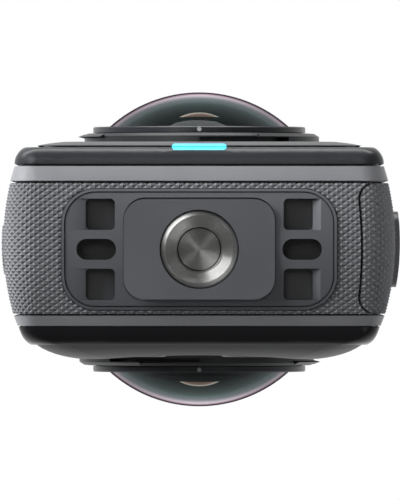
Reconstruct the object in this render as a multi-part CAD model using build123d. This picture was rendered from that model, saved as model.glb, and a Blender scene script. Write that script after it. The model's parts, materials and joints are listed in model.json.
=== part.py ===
import os

from build123d import *

os.makedirs("parts", exist_ok=True)

# Body outline seen from the front: X runs across, Z up from the base, Y from the front to the screen side
body_half_width = 22.2
body_top = 124.5
base_stand_off = 0.15
corner_radius = 3.8
inner_corner = 1.2
pill_share = 0.49

# Depth of each layer of the casing, from the front panel to the screen-side panel
front_panel_depth = 0.75
front_cover_depth = 1.95
front_band_depth = 1.9
grip_depth = 15.0
grip_shift = 0.1
back_band_depth = 1.35
back_cover_depth = 2.05
back_panel_depth = 1.65

# How far each edge of the layers is drawn in from the widest outline
grip_front_inset = 0.8
grip_back_inset = 1.15
front_band_inset = 1.36
cover_line_inset = 2.9
front_face_inset = 6.8
back_band_inset = 1.75
back_cover_inset = 3.2
panel_step = 0.55
back_face_inset = 8.6

# Walls, seams and clearances
grip_wall = 2.6
frame_wall = 1.25
cover_wall = 4.4
front_plate_wall = 1.25
back_plate_wall = 1.15
seam_gap = 0.12
seam_depth = 0.6
panel_seam_gap = 0.2
fit_gap = 0.05
moving_gap = 0.15
overrun = 3.0

# Layer stations along Y
grip_front = -grip_depth / 2 - grip_shift
grip_back = grip_front + grip_depth
grip_middle = (grip_front + grip_back) / 2
front_band_front = grip_front - front_band_depth
cover_line = front_band_front - front_cover_depth
front_face = cover_line - front_panel_depth
back_band_back = grip_back + back_band_depth
back_cover_back = back_band_back + back_cover_depth
back_face = back_cover_back + back_panel_depth
front_cover_inner = cover_line + front_plate_wall
back_cover_inner = back_cover_back - back_plate_wall

# Height of the lens axis, and of the deck under the lenses that the lower parts are laid out from
lens_drop = 23.5
deck_drop = 16.8
lens_z = body_top - lens_drop
deck_z = lens_z - deck_drop

# Middle of the outline and the centres of its corners
body_middle = (body_top + base_stand_off) / 2
body_half_height = (body_top - base_stand_off) / 2
corner_x = body_half_width - corner_radius
corner_low = base_stand_off + corner_radius
corner_high = body_top - corner_radius
outside = body_half_width + overrun


def at(inset, depth):
    """A point of a casing section at the right side, measured inwards from the widest outline."""
    return (body_half_width - inset, depth)


def run_round(section):
    """Carry a casing section once round the outline: straight runs, and a quarter turn at each corner."""
    side = Pos(0, 0, corner_low) * extrude(section, corner_high - corner_low)
    high = Pos(0, 0, corner_high) * section
    turn = Axis((corner_x, 0, corner_high), (0, -1, 0))
    corner = revolve(high, turn, 90)
    top = extrude(high.rotate(turn, 90), 2 * corner_x, dir=(-1, 0, 0))
    middle = Plane.XY.offset(body_middle)
    quarter = side + corner + mirror(corner, about=middle)
    return quarter + mirror(quarter, about=Plane.YZ) + top + mirror(top, about=middle)


def through_depth(outline, low, high):
    """A front-view outline, X across and Z up, as a solid from one depth to another."""
    return Pos(0, high, 0) * extrude(Plane.XZ * outline, high - low)


def through_width(outline, low, high):
    """A side-view outline, Y across and Z up, as a solid from one X to another."""
    return Pos(low, 0, 0) * extrude(Plane.YZ * outline, high - low)


def upward(outline, low, high):
    """A base outline, X across and Y deep, as a solid from one height to another."""
    return Pos(0, 0, low) * extrude(outline, high - low)


def block(x_low, x_high, y_low, y_high, z_low, z_high):
    """A plain box between six faces."""
    size = (x_high - x_low, y_high - y_low, z_high - z_low)
    centre = ((x_low + x_high) / 2, (y_low + y_high) / 2, (z_low + z_high) / 2)
    return Pos(*centre) * Box(*size)


def body_outline(inset, radius=0):
    """The body's front-view outline, drawn in by the inset."""
    corner = radius or max(corner_radius - inset, inner_corner)
    return RectangleRounded(
        2 * (body_half_width - inset), 2 * (body_half_height - inset), corner
    )


def body_plate(inset, low, high):
    """A flat plate of the body's outline, drawn in by the inset."""
    return through_depth(Pos(0, body_middle) * body_outline(inset), low, high)


def rounded_edge(outer_inset, outer_depth, inner_inset, inner_depth, shares):
    """A casing layer that rounds over from its outer line to its face, at shares of depth and inset."""
    faces = []
    for depth_share, inset_share in shares:
        inset = outer_inset + inset_share * (inner_inset - outer_inset)
        depth = outer_depth + depth_share * (inner_depth - outer_depth)
        corner = max(corner_radius - inset, min(corner_radius, inset))
        outline = Plane.XZ.offset(-depth) * body_outline(inset, corner)
        faces.append(Pos(0, 0, body_middle) * outline)
    return loft(faces)


def rim(inset, low, high):
    """All that lies outside an inset of the outline between two depths, for cutting a seam."""
    return body_plate(-overrun, low, high) - body_plate(inset, low, high)


def tube_along_depth(x, z, radius, low, high):
    """A round bar along Y."""
    return through_depth(Pos(x, z) * Circle(radius), low, high)


def keep(node, piece):
    """Write one node's solids."""
    export_step(Compound(children=piece.solids()), "parts/" + node + ".step")


# Grip: the textured ring round the middle of the body, bowed outwards
grip_crown = -0.4
grip_bow = ThreePointArc(
    at(grip_front_inset, grip_front), at(0, grip_crown), at(grip_back_inset, grip_back)
)


def grip_section(wall, grow=0):
    """The grip's section, as thick as the wall at its crown, with its bow moved out by the growth."""
    reach = wall + grow
    back = Polyline(
        at(grip_back_inset, grip_back),
        at(reach, grip_back),
        at(reach, grip_front),
        at(grip_front_inset, grip_front),
    )
    return Pos(grow, 0) * make_face(Curve() + [grip_bow, back])


def bowed_strip(inner, outer, width, low, high):
    """A strip of the right side that follows its bow between two growths, from one height to another."""
    band = Pos(body_half_width, 0) * Rectangle(2 * overrun + body_half_width, width)
    face = (grip_section(body_half_width / 2, outer) & band) - grip_section(body_half_width / 2, inner)
    return upward(face, low, high)


grip_seam = rim(grip_wall - seam_depth, grip_front - overrun, grip_front + seam_gap)
grip_seam += rim(grip_wall - seam_depth, grip_back - seam_gap, grip_back + overrun)
grip_shell = run_round(grip_section(grip_wall)) - grip_seam

# Battery door: the right-hand stretch of the grip, from a bowed seam in the base up to its hinge
door_wall = 1.7
door_pin_drop = 13.6
door_pin_inset = 1.05
door_seam_inset = 4.1
door_seam_bow = 0.3
door_corner = 1.9
door_gap = 0.15
door_knuckle_half_width = 2.2
door_lug_width = 2.0
door_pin_x = body_half_width - door_pin_inset
door_pin_z = deck_z - door_pin_drop
door_seam_x = body_half_width - door_seam_inset
door_half_width = grip_depth / 2 - seam_gap


def door_space(gap):
    """The space of the door, wider by the gap: bowed and rounded in the base, round about its pin."""
    low = grip_middle - door_half_width - gap
    high = grip_middle + door_half_width + gap
    seam = door_seam_x - gap
    turned = seam + door_corner
    outline = Curve() + [
        Polyline((turned, high), (outside, high), (outside, low), (turned, low)),
        RadiusArc((turned, low), (seam, low + door_corner), door_corner),
        ThreePointArc(
            (seam, low + door_corner), (seam + door_seam_bow, grip_middle), (seam, high - door_corner)
        ),
        RadiusArc((seam, high - door_corner), (turned, high), door_corner),
    ]
    space = upward(make_face(outline), -overrun, door_pin_z)
    return space + tube_along_depth(door_pin_x, door_pin_z, door_pin_inset + gap, low, high)


pin_radius = 0.45
pin_running_gap = 0.04
lug_radius = 0.9
lug_gap = 0.15


def hinge_lugs(pin_x, pin_z, root_x, half_width, lug_width, grow=0):
    """The pair of lugs that carry a hinge pin, from the frame out to round knuckles."""
    lugs = Part()
    for side in (-1, 1):
        edges = sorted((side * (half_width - grow), side * (half_width + lug_width + grow)))
        lugs += tube_along_depth(pin_x, pin_z, lug_radius + grow, *edges)
        x_edges = sorted((pin_x, root_x))
        lugs += block(*x_edges, *edges, pin_z - lug_radius - grow, pin_z + lug_radius + grow)
    return lugs


def hinge_notches(pin_x, pin_z, reach, half_width, lug_width):
    """The gaps that a hinged cover has for the lugs, from the pin out past its hinge end."""
    slots = Part()
    for side in (-1, 1):
        edges = sorted((side * (half_width - lug_gap), side * (half_width + lug_width + lug_gap)))
        slots += block(pin_x - overrun, pin_x + overrun, *edges, pin_z - reach, pin_z + reach)
    return slots


def hinge_relief(pin_x, outer_x, pin_z, end_z, half_width):
    """The groove beyond a cover's hinged end that its face turns into when it swings wide open."""
    x_edges = sorted((pin_x, outer_x))
    z_edges = sorted((pin_z, end_z))
    return block(*x_edges, grip_middle - half_width, grip_middle + half_width, *z_edges)


# Latch: a slider on the door's face, joined through a slot to its hook plate inside
latch_z = 30.0
latch_width = 8.7
latch_length = 11.0
latch_proud = 0.85
latch_travel = 2.6
latch_neck_width = 4.0
latch_neck_length = 4.6
latch_plate_width = 6.4
latch_plate_length = 9.0
latch_plate_wall = 0.65
latch_groove_count = 4
latch_groove_pitch = 1.6
latch_groove = 0.35
latch_low = latch_z - latch_length / 2
latch_high = latch_z + latch_length / 2
latch_plate_x = body_half_width - door_wall - moving_gap

latch_cap = bowed_strip(moving_gap, latch_proud, latch_width, latch_low, latch_high)
latch_outline = RectangleRounded(latch_width, latch_length, latch_width / 4)
latch_cap &= through_width(Pos(0, latch_z) * latch_outline, corner_x, outside)
for row in range(latch_groove_count):
    groove_z = latch_z + (row - (latch_groove_count - 1) / 2) * latch_groove_pitch
    latch_cap -= tube_along_depth(
        body_half_width + latch_proud, groove_z, latch_groove, -latch_width / 3, latch_width / 3
    )
latch_neck = block(
    latch_plate_x - latch_plate_wall / 2, body_half_width + latch_proud / 2,
    -latch_neck_width / 2, latch_neck_width / 2,
    latch_z - latch_neck_length / 2, latch_z + latch_neck_length / 2,
)
latch_plate = block(
    latch_plate_x - latch_plate_wall, latch_plate_x,
    -latch_plate_width / 2, latch_plate_width / 2,
    latch_z - latch_plate_length / 2, latch_z + latch_plate_length / 2,
)
latch_slot = block(
    corner_x, outside,
    -latch_neck_width / 2 - moving_gap, latch_neck_width / 2 + moving_gap,
    latch_z - latch_neck_length / 2 - latch_travel - moving_gap,
    latch_z + latch_neck_length / 2 + moving_gap,
)
keep("battery_latch", latch_cap + latch_neck + latch_plate)

# Door skin with its hinge knuckle
door_end_reach = door_pin_inset + lug_gap
battery_door = run_round(grip_section(door_wall)) & door_space(0)
battery_door += tube_along_depth(
    door_pin_x, door_pin_z, door_pin_inset,
    -door_knuckle_half_width, door_knuckle_half_width,
)
battery_door -= hinge_notches(
    door_pin_x, door_pin_z, door_end_reach, door_knuckle_half_width, door_lug_width
)
battery_door -= tube_along_depth(
    door_pin_x, door_pin_z, pin_radius + pin_running_gap, -overrun, overrun
)
battery_door -= latch_slot
keep("battery_door", battery_door)

door_pin_half_length = door_knuckle_half_width + door_lug_width
keep(
    "door_hinge_pin",
    tube_along_depth(door_pin_x, door_pin_z, pin_radius, -door_pin_half_length, door_pin_half_length),
)

# Heights of what lies up the left side, as shares of the height under the lens deck
usb_height_share = 0.2874
button_height_shares = {"quick_button": 0.5226, "power_button": 0.6888}
button_length_share = 0.1188
speaker_height_share = 0.8432
usb_z = deck_z * usb_height_share

# USB cover: a flap in the left side, hinged at its lower end
flap_wall = 1.3
flap_pin_drop = 9.0
flap_pin_inset = 0.95
flap_rise = 6.8
flap_half_width = 4.2
flap_corner = 2.2
flap_knuckle_half_width = 1.4
flap_lug_width = 1.4
flap_nail_radius = 1.6
flap_nail_depth = 0.5
flap_pin_x = -body_half_width + flap_pin_inset
flap_pin_z = usb_z - flap_pin_drop
flap_top = usb_z + flap_rise


def flap_space(gap):
    """The space of the USB cover, wider by the gap: rounded on top, round about its pin below."""
    length = flap_top - flap_pin_z
    outline = RectangleRounded(2 * (flap_half_width + gap), 2 * (length + gap), flap_corner + gap)
    upper = Pos(0, length) * Rectangle(2 * outside, 2 * length)
    space = through_width(Pos(0, flap_pin_z) * (outline & upper), -outside, -corner_x)
    return space + tube_along_depth(
        flap_pin_x, flap_pin_z, flap_pin_inset + gap, -flap_half_width - gap, flap_half_width + gap
    )


usb_cover = run_round(grip_section(flap_wall)) & flap_space(0)
usb_cover += tube_along_depth(
    flap_pin_x, flap_pin_z, flap_pin_inset, -flap_knuckle_half_width, flap_knuckle_half_width
)
usb_cover -= hinge_notches(
    flap_pin_x, flap_pin_z, flap_pin_inset + lug_gap, flap_knuckle_half_width, flap_lug_width
)
usb_cover -= tube_along_depth(
    flap_pin_x, flap_pin_z, pin_radius + pin_running_gap, -overrun, overrun
)
nail_notch = Pos(-body_half_width, grip_middle, flap_top) * Sphere(flap_nail_radius)
usb_cover -= nail_notch & block(
    -outside, -body_half_width + flap_nail_depth, -outside, outside, flap_pin_z, flap_top + overrun
)
keep("usb_cover", usb_cover)

flap_pin_half_length = flap_knuckle_half_width + flap_lug_width
keep(
    "usb_cover_pin",
    tube_along_depth(flap_pin_x, flap_pin_z, pin_radius, -flap_pin_half_length, flap_pin_half_length),
)

# USB socket and its tongue, and the soft seal on the flap that fills the mouth
usb_length = 8.94
usb_width = 3.26
usb_shell_wall = 0.3
usb_depth = 6.2
usb_tongue_length = 6.7
usb_tongue_wall = 0.7
usb_tongue_setback = 0.8
seal_pad_wall = 0.6
seal_pad_margin = 1.1
frame_outer_x = body_half_width - grip_wall - fit_gap
frame_inner_x = frame_outer_x - frame_wall
usb_mouth_x = -frame_outer_x
usb_inner_x = usb_mouth_x + usb_depth


def usb_pill(inset):
    """The socket's rounded outline, drawn in by the inset."""
    return Pos(grip_middle, usb_z) * RectangleRounded(
        usb_width - 2 * inset, usb_length - 2 * inset, (usb_width - 2 * inset) * pill_share
    )


usb_socket = through_width(usb_pill(0), usb_mouth_x, usb_inner_x)
usb_socket -= through_width(usb_pill(usb_shell_wall), usb_mouth_x, usb_inner_x - usb_shell_wall)
keep("usb_socket", usb_socket)
keep(
    "usb_tongue",
    block(
        usb_mouth_x + usb_tongue_setback, usb_inner_x - usb_shell_wall,
        grip_middle - usb_tongue_wall / 2, grip_middle + usb_tongue_wall / 2,
        usb_z - usb_tongue_length / 2, usb_z + usb_tongue_length / 2,
    ),
)
seal_back_x = -body_half_width + flap_wall
seal_pad_x = seal_back_x + seal_pad_wall
seal_pad = through_width(usb_pill(-seal_pad_margin), seal_back_x, seal_pad_x)
seal_plug = through_width(usb_pill(usb_shell_wall), seal_pad_x, usb_mouth_x - moving_gap)
keep("usb_cover_seal", seal_pad + seal_plug)

# Side buttons: each a bowed cap with a flange behind the grip and a nub that meets its switch
side_button_width = 5.7
side_button_proud = 0.8
side_button_end_share = 0.45
side_button_flange = 0.9
side_button_flange_wall = 0.6
side_nub_radius = 0.8
side_nub_length = 0.4
button_travel = 0.35
button_touch_gap = 0.1
side_button_length = deck_z * button_length_share
side_button_places = {node: deck_z * share for node, share in button_height_shares.items()}
switch_depth = 0.8
switch_size = 3.2
side_flange_x = -frame_outer_x + fit_gap
side_flange_back = side_flange_x + side_button_flange_wall
side_nub_x = side_flange_back + side_nub_length
side_switch_x = side_nub_x + button_travel + button_touch_gap


def side_pill(z, grow=0):
    """A side button's outline, wider by the growth."""
    width = side_button_width + 2 * grow
    return Pos(0, z) * RectangleRounded(width, side_button_length + 2 * grow, width * side_button_end_share)


side_caps = mirror(
    bowed_strip(
        -grip_wall / 2, side_button_proud, side_button_width,
        min(side_button_places.values()) - side_button_length,
        max(side_button_places.values()) + side_button_length,
    ),
    about=Plane.YZ,
)
for node, place in side_button_places.items():
    cap = side_caps & through_width(side_pill(place), -outside, -corner_x)
    stem = through_width(side_pill(place), -body_half_width + grip_wall / 4, side_flange_x)
    flange = through_width(side_pill(place, side_button_flange), side_flange_x, side_flange_back)
    nub = through_width(Pos(0, place) * Circle(side_nub_radius), side_flange_back, side_nub_x)
    keep(node, cap + stem + flange + nub)

side_switches = Part()
for place in side_button_places.values():
    side_switches += block(
        side_switch_x, side_switch_x + switch_depth,
        -switch_size / 2, switch_size / 2, place - switch_size / 2, place + switch_size / 2,
    )
keep("side_switches", side_switches)
side_board_x = side_switch_x + switch_depth
board_wall = 0.8
keep(
    "side_switch_board",
    block(
        side_board_x, side_board_x + board_wall, -side_button_width / 2, side_button_width / 2,
        min(side_button_places.values()) - side_button_length / 2,
        max(side_button_places.values()) + side_button_length / 2,
    ),
)

# Battery bay: a tray behind the door, with a shelf that carries the card socket above the battery
bay_depth = 11.6
bay_low = 10.6
bay_top_drop = 2.0
bay_inner_inset = 9.8
bay_wall = 0.8
card_zone_length = 12.4
battery_gap = 0.2
battery_top_gap = 0.8
battery_reach = 0.5
battery_corner = 1.8
contact_radius = 0.5
contact_count = 4
contact_pitch = 3.2
contact_low = 15.0
card_length = 15.0
card_width = 11.0
card_depth = 0.8
card_out = 1.0
card_gap = 0.1
socket_wall = 0.35
bay_high = door_pin_z - bay_top_drop
bay_inner_x = -body_half_width + bay_inner_inset
bay_front = grip_middle - bay_depth / 2
bay_back = grip_middle + bay_depth / 2
card_zone_low = bay_high - card_zone_length

battery_bay = block(
    bay_inner_x - bay_wall, frame_inner_x - fit_gap,
    bay_front - bay_wall, bay_back + bay_wall, bay_low - bay_wall, bay_high + bay_wall,
)
battery_bay -= block(bay_inner_x, outside, bay_front, bay_back, bay_low, card_zone_low - bay_wall)
battery_bay -= block(bay_inner_x, outside, bay_front, bay_back, card_zone_low, bay_high)

battery = block(
    bay_inner_x + bay_wall, frame_inner_x + battery_reach,
    bay_front + battery_gap, bay_back - battery_gap,
    bay_low + battery_gap, card_zone_low - bay_wall - battery_top_gap,
)
keep("battery_pack", fillet(battery.edges().filter_by(Axis.X), battery_corner))

battery_contacts = Part()
for row in range(contact_count):
    place = Pos(grip_middle, contact_low + row * contact_pitch)
    battery_contacts += through_width(place * Circle(contact_radius), bay_inner_x, bay_inner_x + bay_wall)
keep("battery_contacts", battery_contacts)

card_x = frame_inner_x - card_out
card_z = (card_zone_low + bay_high) / 2
card_outline = Pos(grip_middle, card_z) * Rectangle(card_depth, card_width)
memory_card = through_width(card_outline, card_x - card_length, card_x)
keep("memory_card", memory_card)
socket_reach = card_depth + 2 * (card_gap + socket_wall)
socket_rise = card_width + 2 * (card_gap + socket_wall)
card_socket = through_width(
    Pos(grip_middle, card_z) * Rectangle(socket_reach, socket_rise),
    card_x - card_length - card_gap - socket_wall, card_x - 2 * card_out,
)
card_socket -= through_width(
    Pos(grip_middle, card_z) * Rectangle(card_depth + 2 * card_gap, card_width + 2 * card_gap),
    card_x - card_length - card_gap, card_x,
)
keep("card_socket", card_socket)
card_shelf_front = grip_middle - socket_reach / 2 - bay_wall
battery_bay += block(
    bay_inner_x, card_x - 2 * card_out, card_shelf_front, card_shelf_front + bay_wall,
    card_zone_low - bay_wall / 2, bay_high + bay_wall / 2,
)
keep("battery_bay", battery_bay)

# Door seal: a soft frame on the door's inner face, round the mouth of the bay
door_seal_wall = 1.0
door_seal_depth = 0.75
mouth_corner = 1.5


def mouth(grow):
    """The mouth of the bay seen from the side, wider by the growth."""
    return Pos(grip_middle, (bay_low + bay_high) / 2) * RectangleRounded(
        bay_depth + 2 * grow, bay_high - bay_low + 2 * grow, mouth_corner
    )


door_inner_x = body_half_width - door_wall
door_seal_ring = mouth(door_seal_wall) - mouth(fit_gap)
door_seal = through_width(door_seal_ring, door_inner_x - door_seal_depth, door_inner_x)
door_seal -= tube_along_depth(door_pin_x, door_pin_z, door_pin_inset + fit_gap, -outside, outside)
keep("door_seal", door_seal)

# Latch spring: a serpentine steel strip below the latch's hook plate
spring_wall = 0.2
spring_width = 3.0
spring_turns = 5
spring_swing = 0.6
spring_pitch = 1.4
spring_top = latch_z - latch_plate_length / 2 - moving_gap
spring_points = []
for row in range(spring_turns):
    reach = spring_swing / 2 if row % 2 else -spring_swing / 2
    spring_points.append((latch_plate_x - latch_plate_wall / 2 + reach, spring_top - row * spring_pitch))
spring_line = Polyline(*spring_points)
latch_spring = Part()
for edge in spring_line.edges():
    strip = offset(edge, spring_wall / 2)
    latch_spring += through_depth(make_face(strip), -spring_width / 2, spring_width / 2)
keep("latch_spring", latch_spring)

# Lenses: one set on the front, and the same turned half way round on the screen side
ring_proud = 2.41
dome_rise = 4.24
dome_wall = 1.2
dome_edge = 1.0
dome_land = 1.0
ring_step = 1.05
ring_depth = 0.7
ring_edge = 0.12
skirt_wall = 0.5
skirt_length = 1.56
bayonet_lug_reach = 0.55
bayonet_lug_depth = 0.6
bayonet_count = 3
bayonet_angle = 30.0
bayonet_turn = 45.0
bayonet_play = 4.0
base_gap = 0.1
base_radius = 13.95
base_wide_reach = 0.62
base_wide_spread = 120.0
base_wing_reach = 0.79
base_wing_start = 145.0
base_wing_spread = 70.0
base_wing_drop = 0.4
base_wing_wall = 0.25
base_depth = 1.15
base_step = 0.75
base_neck_step = 0.45
base_wall = 1.15
base_length = 5.06
seal_radius = 0.26
seal_ring_inset = 0.9
barrel_flange_gap = 0.1
barrel_flange_reach = 1.3
barrel_flange_depth = 2.4
barrel_board_gap = 0.1
barrel_nose_step = 0.6
baffle_slope = 1.2
baffle_shoulder_drop = 0.95
inner_lens_proud = 0.85
inner_lens_gap = 1.2
inner_lens_radius = 5.3
inner_lens_rim = 3.25
inner_lens_depth = 2.6
barrel_wall = 3.2
rear_lens_gap = 0.2
rear_lens_radius = 14.0
rear_lens_drop = 1.0
rear_lens_edge = 1.2
sensor_board_size = 24.0
sensor_board_wall = 1.0
sensor_board_place = 0.4
sensor_size = 9.6
sensor_wall = 0.7
spreader_size = 27.0

# Radii about the lens axis, inwards from the outside of the base
base_wide_radius = base_radius + base_wide_reach
base_wing_radius = base_radius + base_wing_reach
base_step_radius = base_radius - base_step
base_neck_radius = base_step_radius - base_neck_step
base_bore_radius = base_neck_radius - base_wall
seal_ring_radius = base_bore_radius + seal_ring_inset
ring_radius = base_radius - ring_step
skirt_radius = base_bore_radius - moving_gap
dome_rim_radius = skirt_radius - skirt_wall
barrel_flange_radius = base_bore_radius - barrel_flange_gap
barrel_radius = barrel_flange_radius - barrel_flange_reach
barrel_nose_radius = barrel_radius - barrel_nose_step
baffle_shoulder_radius = barrel_nose_radius - baffle_slope
barrel_bore = barrel_radius - barrel_wall
rear_lens_rim = barrel_bore - rear_lens_gap


def turned(outline):
    """A lens piece revolved about the lens axis, its outline drawn as radius and distance outwards."""
    return revolve(Plane.XZ * outline, Axis.Z, 360)


def round_layer(inner, outer, low, high):
    """A flat ring about the lens axis."""
    return turned(make_face(Polyline((inner, low), (outer, low), (outer, high), (inner, high), close=True)))


def sector(middle, spread, reach, low, high):
    """A wedge of the space about the lens axis, centred on an angle."""
    wedge = revolve(
        Plane.XZ * make_face(Polyline((0, low), (reach, low), (reach, high), (0, high), close=True)),
        Axis.Z, spread,
    )
    return Rot(Z=middle - spread / 2) * wedge


def cap_height(radius, chord):
    """How far a ball of the radius stands from its centre at a chord radius."""
    return (radius * radius - chord * chord) ** 0.5


def dome_point(apex, radius, chord):
    """A point on a dome, at a chord radius from the lens axis."""
    return (chord, apex - radius + cap_height(radius, chord))


# Stations along the lens axis, outwards from the middle of the body
ring_face = back_face + ring_proud
base_face = ring_face - ring_depth - base_gap
base_end = base_face - base_length
skirt_end = ring_face - dome_edge - skirt_length
dome_apex = ring_face + dome_rise
dome_inner_apex = dome_apex - dome_wall
dome_radius = (dome_rim_radius ** 2 + dome_rise ** 2) / (2 * dome_rise)
dome_inner_radius = dome_radius - dome_wall
inner_lens_apex = dome_inner_apex - inner_lens_gap
baffle_top = inner_lens_apex - inner_lens_proud
baffle_shoulder = baffle_top - baffle_shoulder_drop
rear_lens_place = base_end - rear_lens_drop
board_back = sensor_board_place
board_front = sensor_board_place + sensor_board_wall
barrel_end = board_front + barrel_board_gap

# Dome: a thin meniscus with a flat land under its rim
dome_seat = ring_face - dome_edge
dome_land_radius = dome_rim_radius - dome_land
dome_outer_rim = dome_point(dome_apex, dome_radius, dome_rim_radius)
dome_inner_rim = dome_point(dome_inner_apex, dome_inner_radius, dome_land_radius)
dome_lens = turned(
    make_face(
        Curve()
        + [
            ThreePointArc(
                (0, dome_apex), dome_point(dome_apex, dome_radius, dome_rim_radius / 2), dome_outer_rim
            ),
            Polyline(
                dome_outer_rim, (dome_rim_radius, dome_seat),
                (dome_land_radius, dome_seat), dome_inner_rim,
            ),
            ThreePointArc(
                dome_inner_rim,
                dome_point(dome_inner_apex, dome_inner_radius, dome_land_radius / 2),
                (0, dome_inner_apex),
            ),
            Line((0, dome_inner_apex), (0, dome_apex)),
        ]
    )
)

# Bayonet ring: it holds the dome and twists in the lens base
lens_ring = turned(
    make_face(
        Polyline(
            (dome_rim_radius + fit_gap, ring_face),
            (ring_radius - ring_edge, ring_face),
            (ring_radius, ring_face - ring_edge),
            (ring_radius, ring_face - ring_depth),
            (skirt_radius, ring_face - ring_depth),
            (skirt_radius, skirt_end),
            (dome_land_radius, skirt_end),
            (dome_land_radius, dome_seat),
            (dome_rim_radius + fit_gap, dome_seat),
            close=True,
        )
    )
)
lug_reach = skirt_radius + bayonet_lug_reach
for turn in range(bayonet_count):
    lens_ring += sector(
        turn * 360 / bayonet_count, bayonet_angle, lug_reach, skirt_end, skirt_end + bayonet_lug_depth
    ) - round_layer(0, skirt_radius - fit_gap, -overrun, dome_apex)

# Lens seal in its groove in the face of the base
lens_seal = turned(Pos(seal_ring_radius, base_face - seal_radius + fit_gap) * Circle(seal_radius))


def lens_base(panel_face):
    """The fixed base of a bayonet ring, standing on a panel and passing through its hole."""
    base = round_layer(base_bore_radius, base_radius, base_face - base_depth, base_face)
    wide_outline = make_face(
        Polyline(
            (base_bore_radius, base_face),
            (base_radius, base_face),
            (base_wide_radius, base_face - base_wing_drop),
            (base_wide_radius, base_face - base_depth),
            (base_bore_radius, base_face - base_depth),
            close=True,
        )
    )
    base += Rot(Z=-base_wide_spread / 2) * revolve(Plane.XZ * wide_outline, Axis.Z, base_wide_spread)
    wing_outline = make_face(
        Polyline(
            (base_radius - base_wing_wall, base_face),
            (base_wing_radius, base_face - base_wing_drop),
            (base_radius - base_wing_wall, base_face - base_wing_drop - base_wing_wall),
            close=True,
        )
    )
    base += Rot(Z=base_wing_start) * revolve(Plane.XZ * wing_outline, Axis.Z, base_wing_spread)
    base += round_layer(base_bore_radius, base_step_radius, panel_face, base_face - base_depth)
    base += round_layer(base_bore_radius, base_neck_radius, base_end, panel_face)
    track = lug_reach + moving_gap
    track_high = skirt_end + bayonet_lug_depth + moving_gap
    base -= round_layer(0, track, skirt_end - moving_gap, track_high)
    for turn in range(bayonet_count):
        base -= sector(
            turn * 360 / bayonet_count + bayonet_turn, bayonet_angle + bayonet_play, track,
            track_high, dome_apex,
        )
    groove = seal_radius + fit_gap
    base -= round_layer(
        seal_ring_radius - groove, seal_ring_radius + groove, base_face - 2 * groove, dome_apex
    )
    return base


# Barrel: a black baffle under the dome, a flange in the base, and a tube down to the sensor
barrel_flange_high = base_end + barrel_flange_depth
barrel_outline = make_face(
    Polyline(
        (inner_lens_rim + fit_gap, baffle_top),
        (inner_lens_rim + barrel_wall / 4, baffle_top),
        (baffle_shoulder_radius, baffle_shoulder),
        (barrel_nose_radius, baffle_shoulder - barrel_wall / 2),
        (barrel_nose_radius, barrel_flange_high),
        (barrel_flange_radius, barrel_flange_high),
        (barrel_flange_radius, base_end),
        (barrel_radius, base_end),
        (barrel_radius, barrel_end),
        (barrel_bore, barrel_end),
        (barrel_bore, barrel_flange_high),
        (inner_lens_rim + fit_gap, barrel_flange_high),
        close=True,
    )
)
lens_barrel = turned(barrel_outline)
inner_lens_edge = dome_point(inner_lens_apex, inner_lens_radius, inner_lens_rim)
inner_lens = turned(
    make_face(
        Curve()
        + [
            ThreePointArc(
                (0, inner_lens_apex),
                dome_point(inner_lens_apex, inner_lens_radius, inner_lens_rim / 2),
                inner_lens_edge,
            ),
            Polyline(
                inner_lens_edge,
                (inner_lens_rim, inner_lens_edge[1] - inner_lens_depth),
                (0, inner_lens_edge[1] - inner_lens_depth),
                (0, inner_lens_apex),
            ),
        ]
    )
)
rear_lens_rise = rear_lens_radius - cap_height(rear_lens_radius, rear_lens_rim)
rear_low = rear_lens_place - rear_lens_edge / 2
rear_high = rear_lens_place + rear_lens_edge / 2
rear_lens = turned(
    make_face(
        Curve()
        + [
            ThreePointArc(
                (0, rear_high + rear_lens_rise),
                dome_point(rear_high + rear_lens_rise, rear_lens_radius, rear_lens_rim / 2),
                (rear_lens_rim, rear_high),
            ),
            Polyline(
                (rear_lens_rim, rear_high), (rear_lens_rim, rear_low),
                (0, rear_low), (0, rear_high + rear_lens_rise),
            ),
        ]
    )
)
sensor_outline = RectangleRounded(sensor_board_size, sensor_board_size, inner_corner)
sensor_board = upward(sensor_outline, board_back, board_front)
sensor_board += upward(Rectangle(sensor_size, sensor_size), board_front, board_front + sensor_wall)

lens_pieces = {
    "dome_lens": dome_lens,
    "lens_ring": lens_ring,
    "lens_seal": lens_seal,
    "lens_barrel": lens_barrel,
    "inner_lens": inner_lens,
    "rear_lens": rear_lens,
    "sensor_board": sensor_board,
}
lens_sides = {"front": -front_face, "back": back_face}
for half_turns, (side, panel_face) in enumerate(lens_sides.items()):
    place = Rot(Z=180 * half_turns) * Pos(0, 0, lens_z) * Rot(X=90)
    for node, piece in lens_pieces.items():
        keep(side + "_" + node, place * piece)
    keep(side + "_lens_base", place * lens_base(panel_face))

keep(
    "heat_spreader",
    block(
        -spreader_size / 2, spreader_size / 2,
        -sensor_board_place + fit_gap, sensor_board_place - fit_gap,
        lens_z - spreader_size / 2, lens_z + spreader_size / 2,
    ),
)
lens_hole = Pos(0, lens_z) * Circle(base_neck_radius + fit_gap)

# Front cover, its raised panel, and the bands that part them from the grip
front_cover_shares = ((0, 0), (0.33, 0.02), (0.69, 0.23), (1, 1))
front_panel_shares = ((0, 0), (0.4, 0.24), (0.73, 0.57), (1, 1))
back_cover_shares = ((0, 0), (0.56, 0.32), (1, 1))
back_panel_shares = ((0, 0), (0.3, 0.16), (0.67, 0.46), (1, 1))


def edge_band(front, front_edge, back, back_edge):
    """A plain band of the casing between two depths, tapered from one inset to the other."""
    outline = Polyline(
        at(front_edge, front), at(back_edge, back), at(grip_wall, back), at(grip_wall, front), close=True
    )
    return run_round(make_face(outline))


front_frame_band = edge_band(front_band_front, front_band_inset, grip_front, grip_front_inset)
keep("front_frame_band", front_frame_band)

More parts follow.
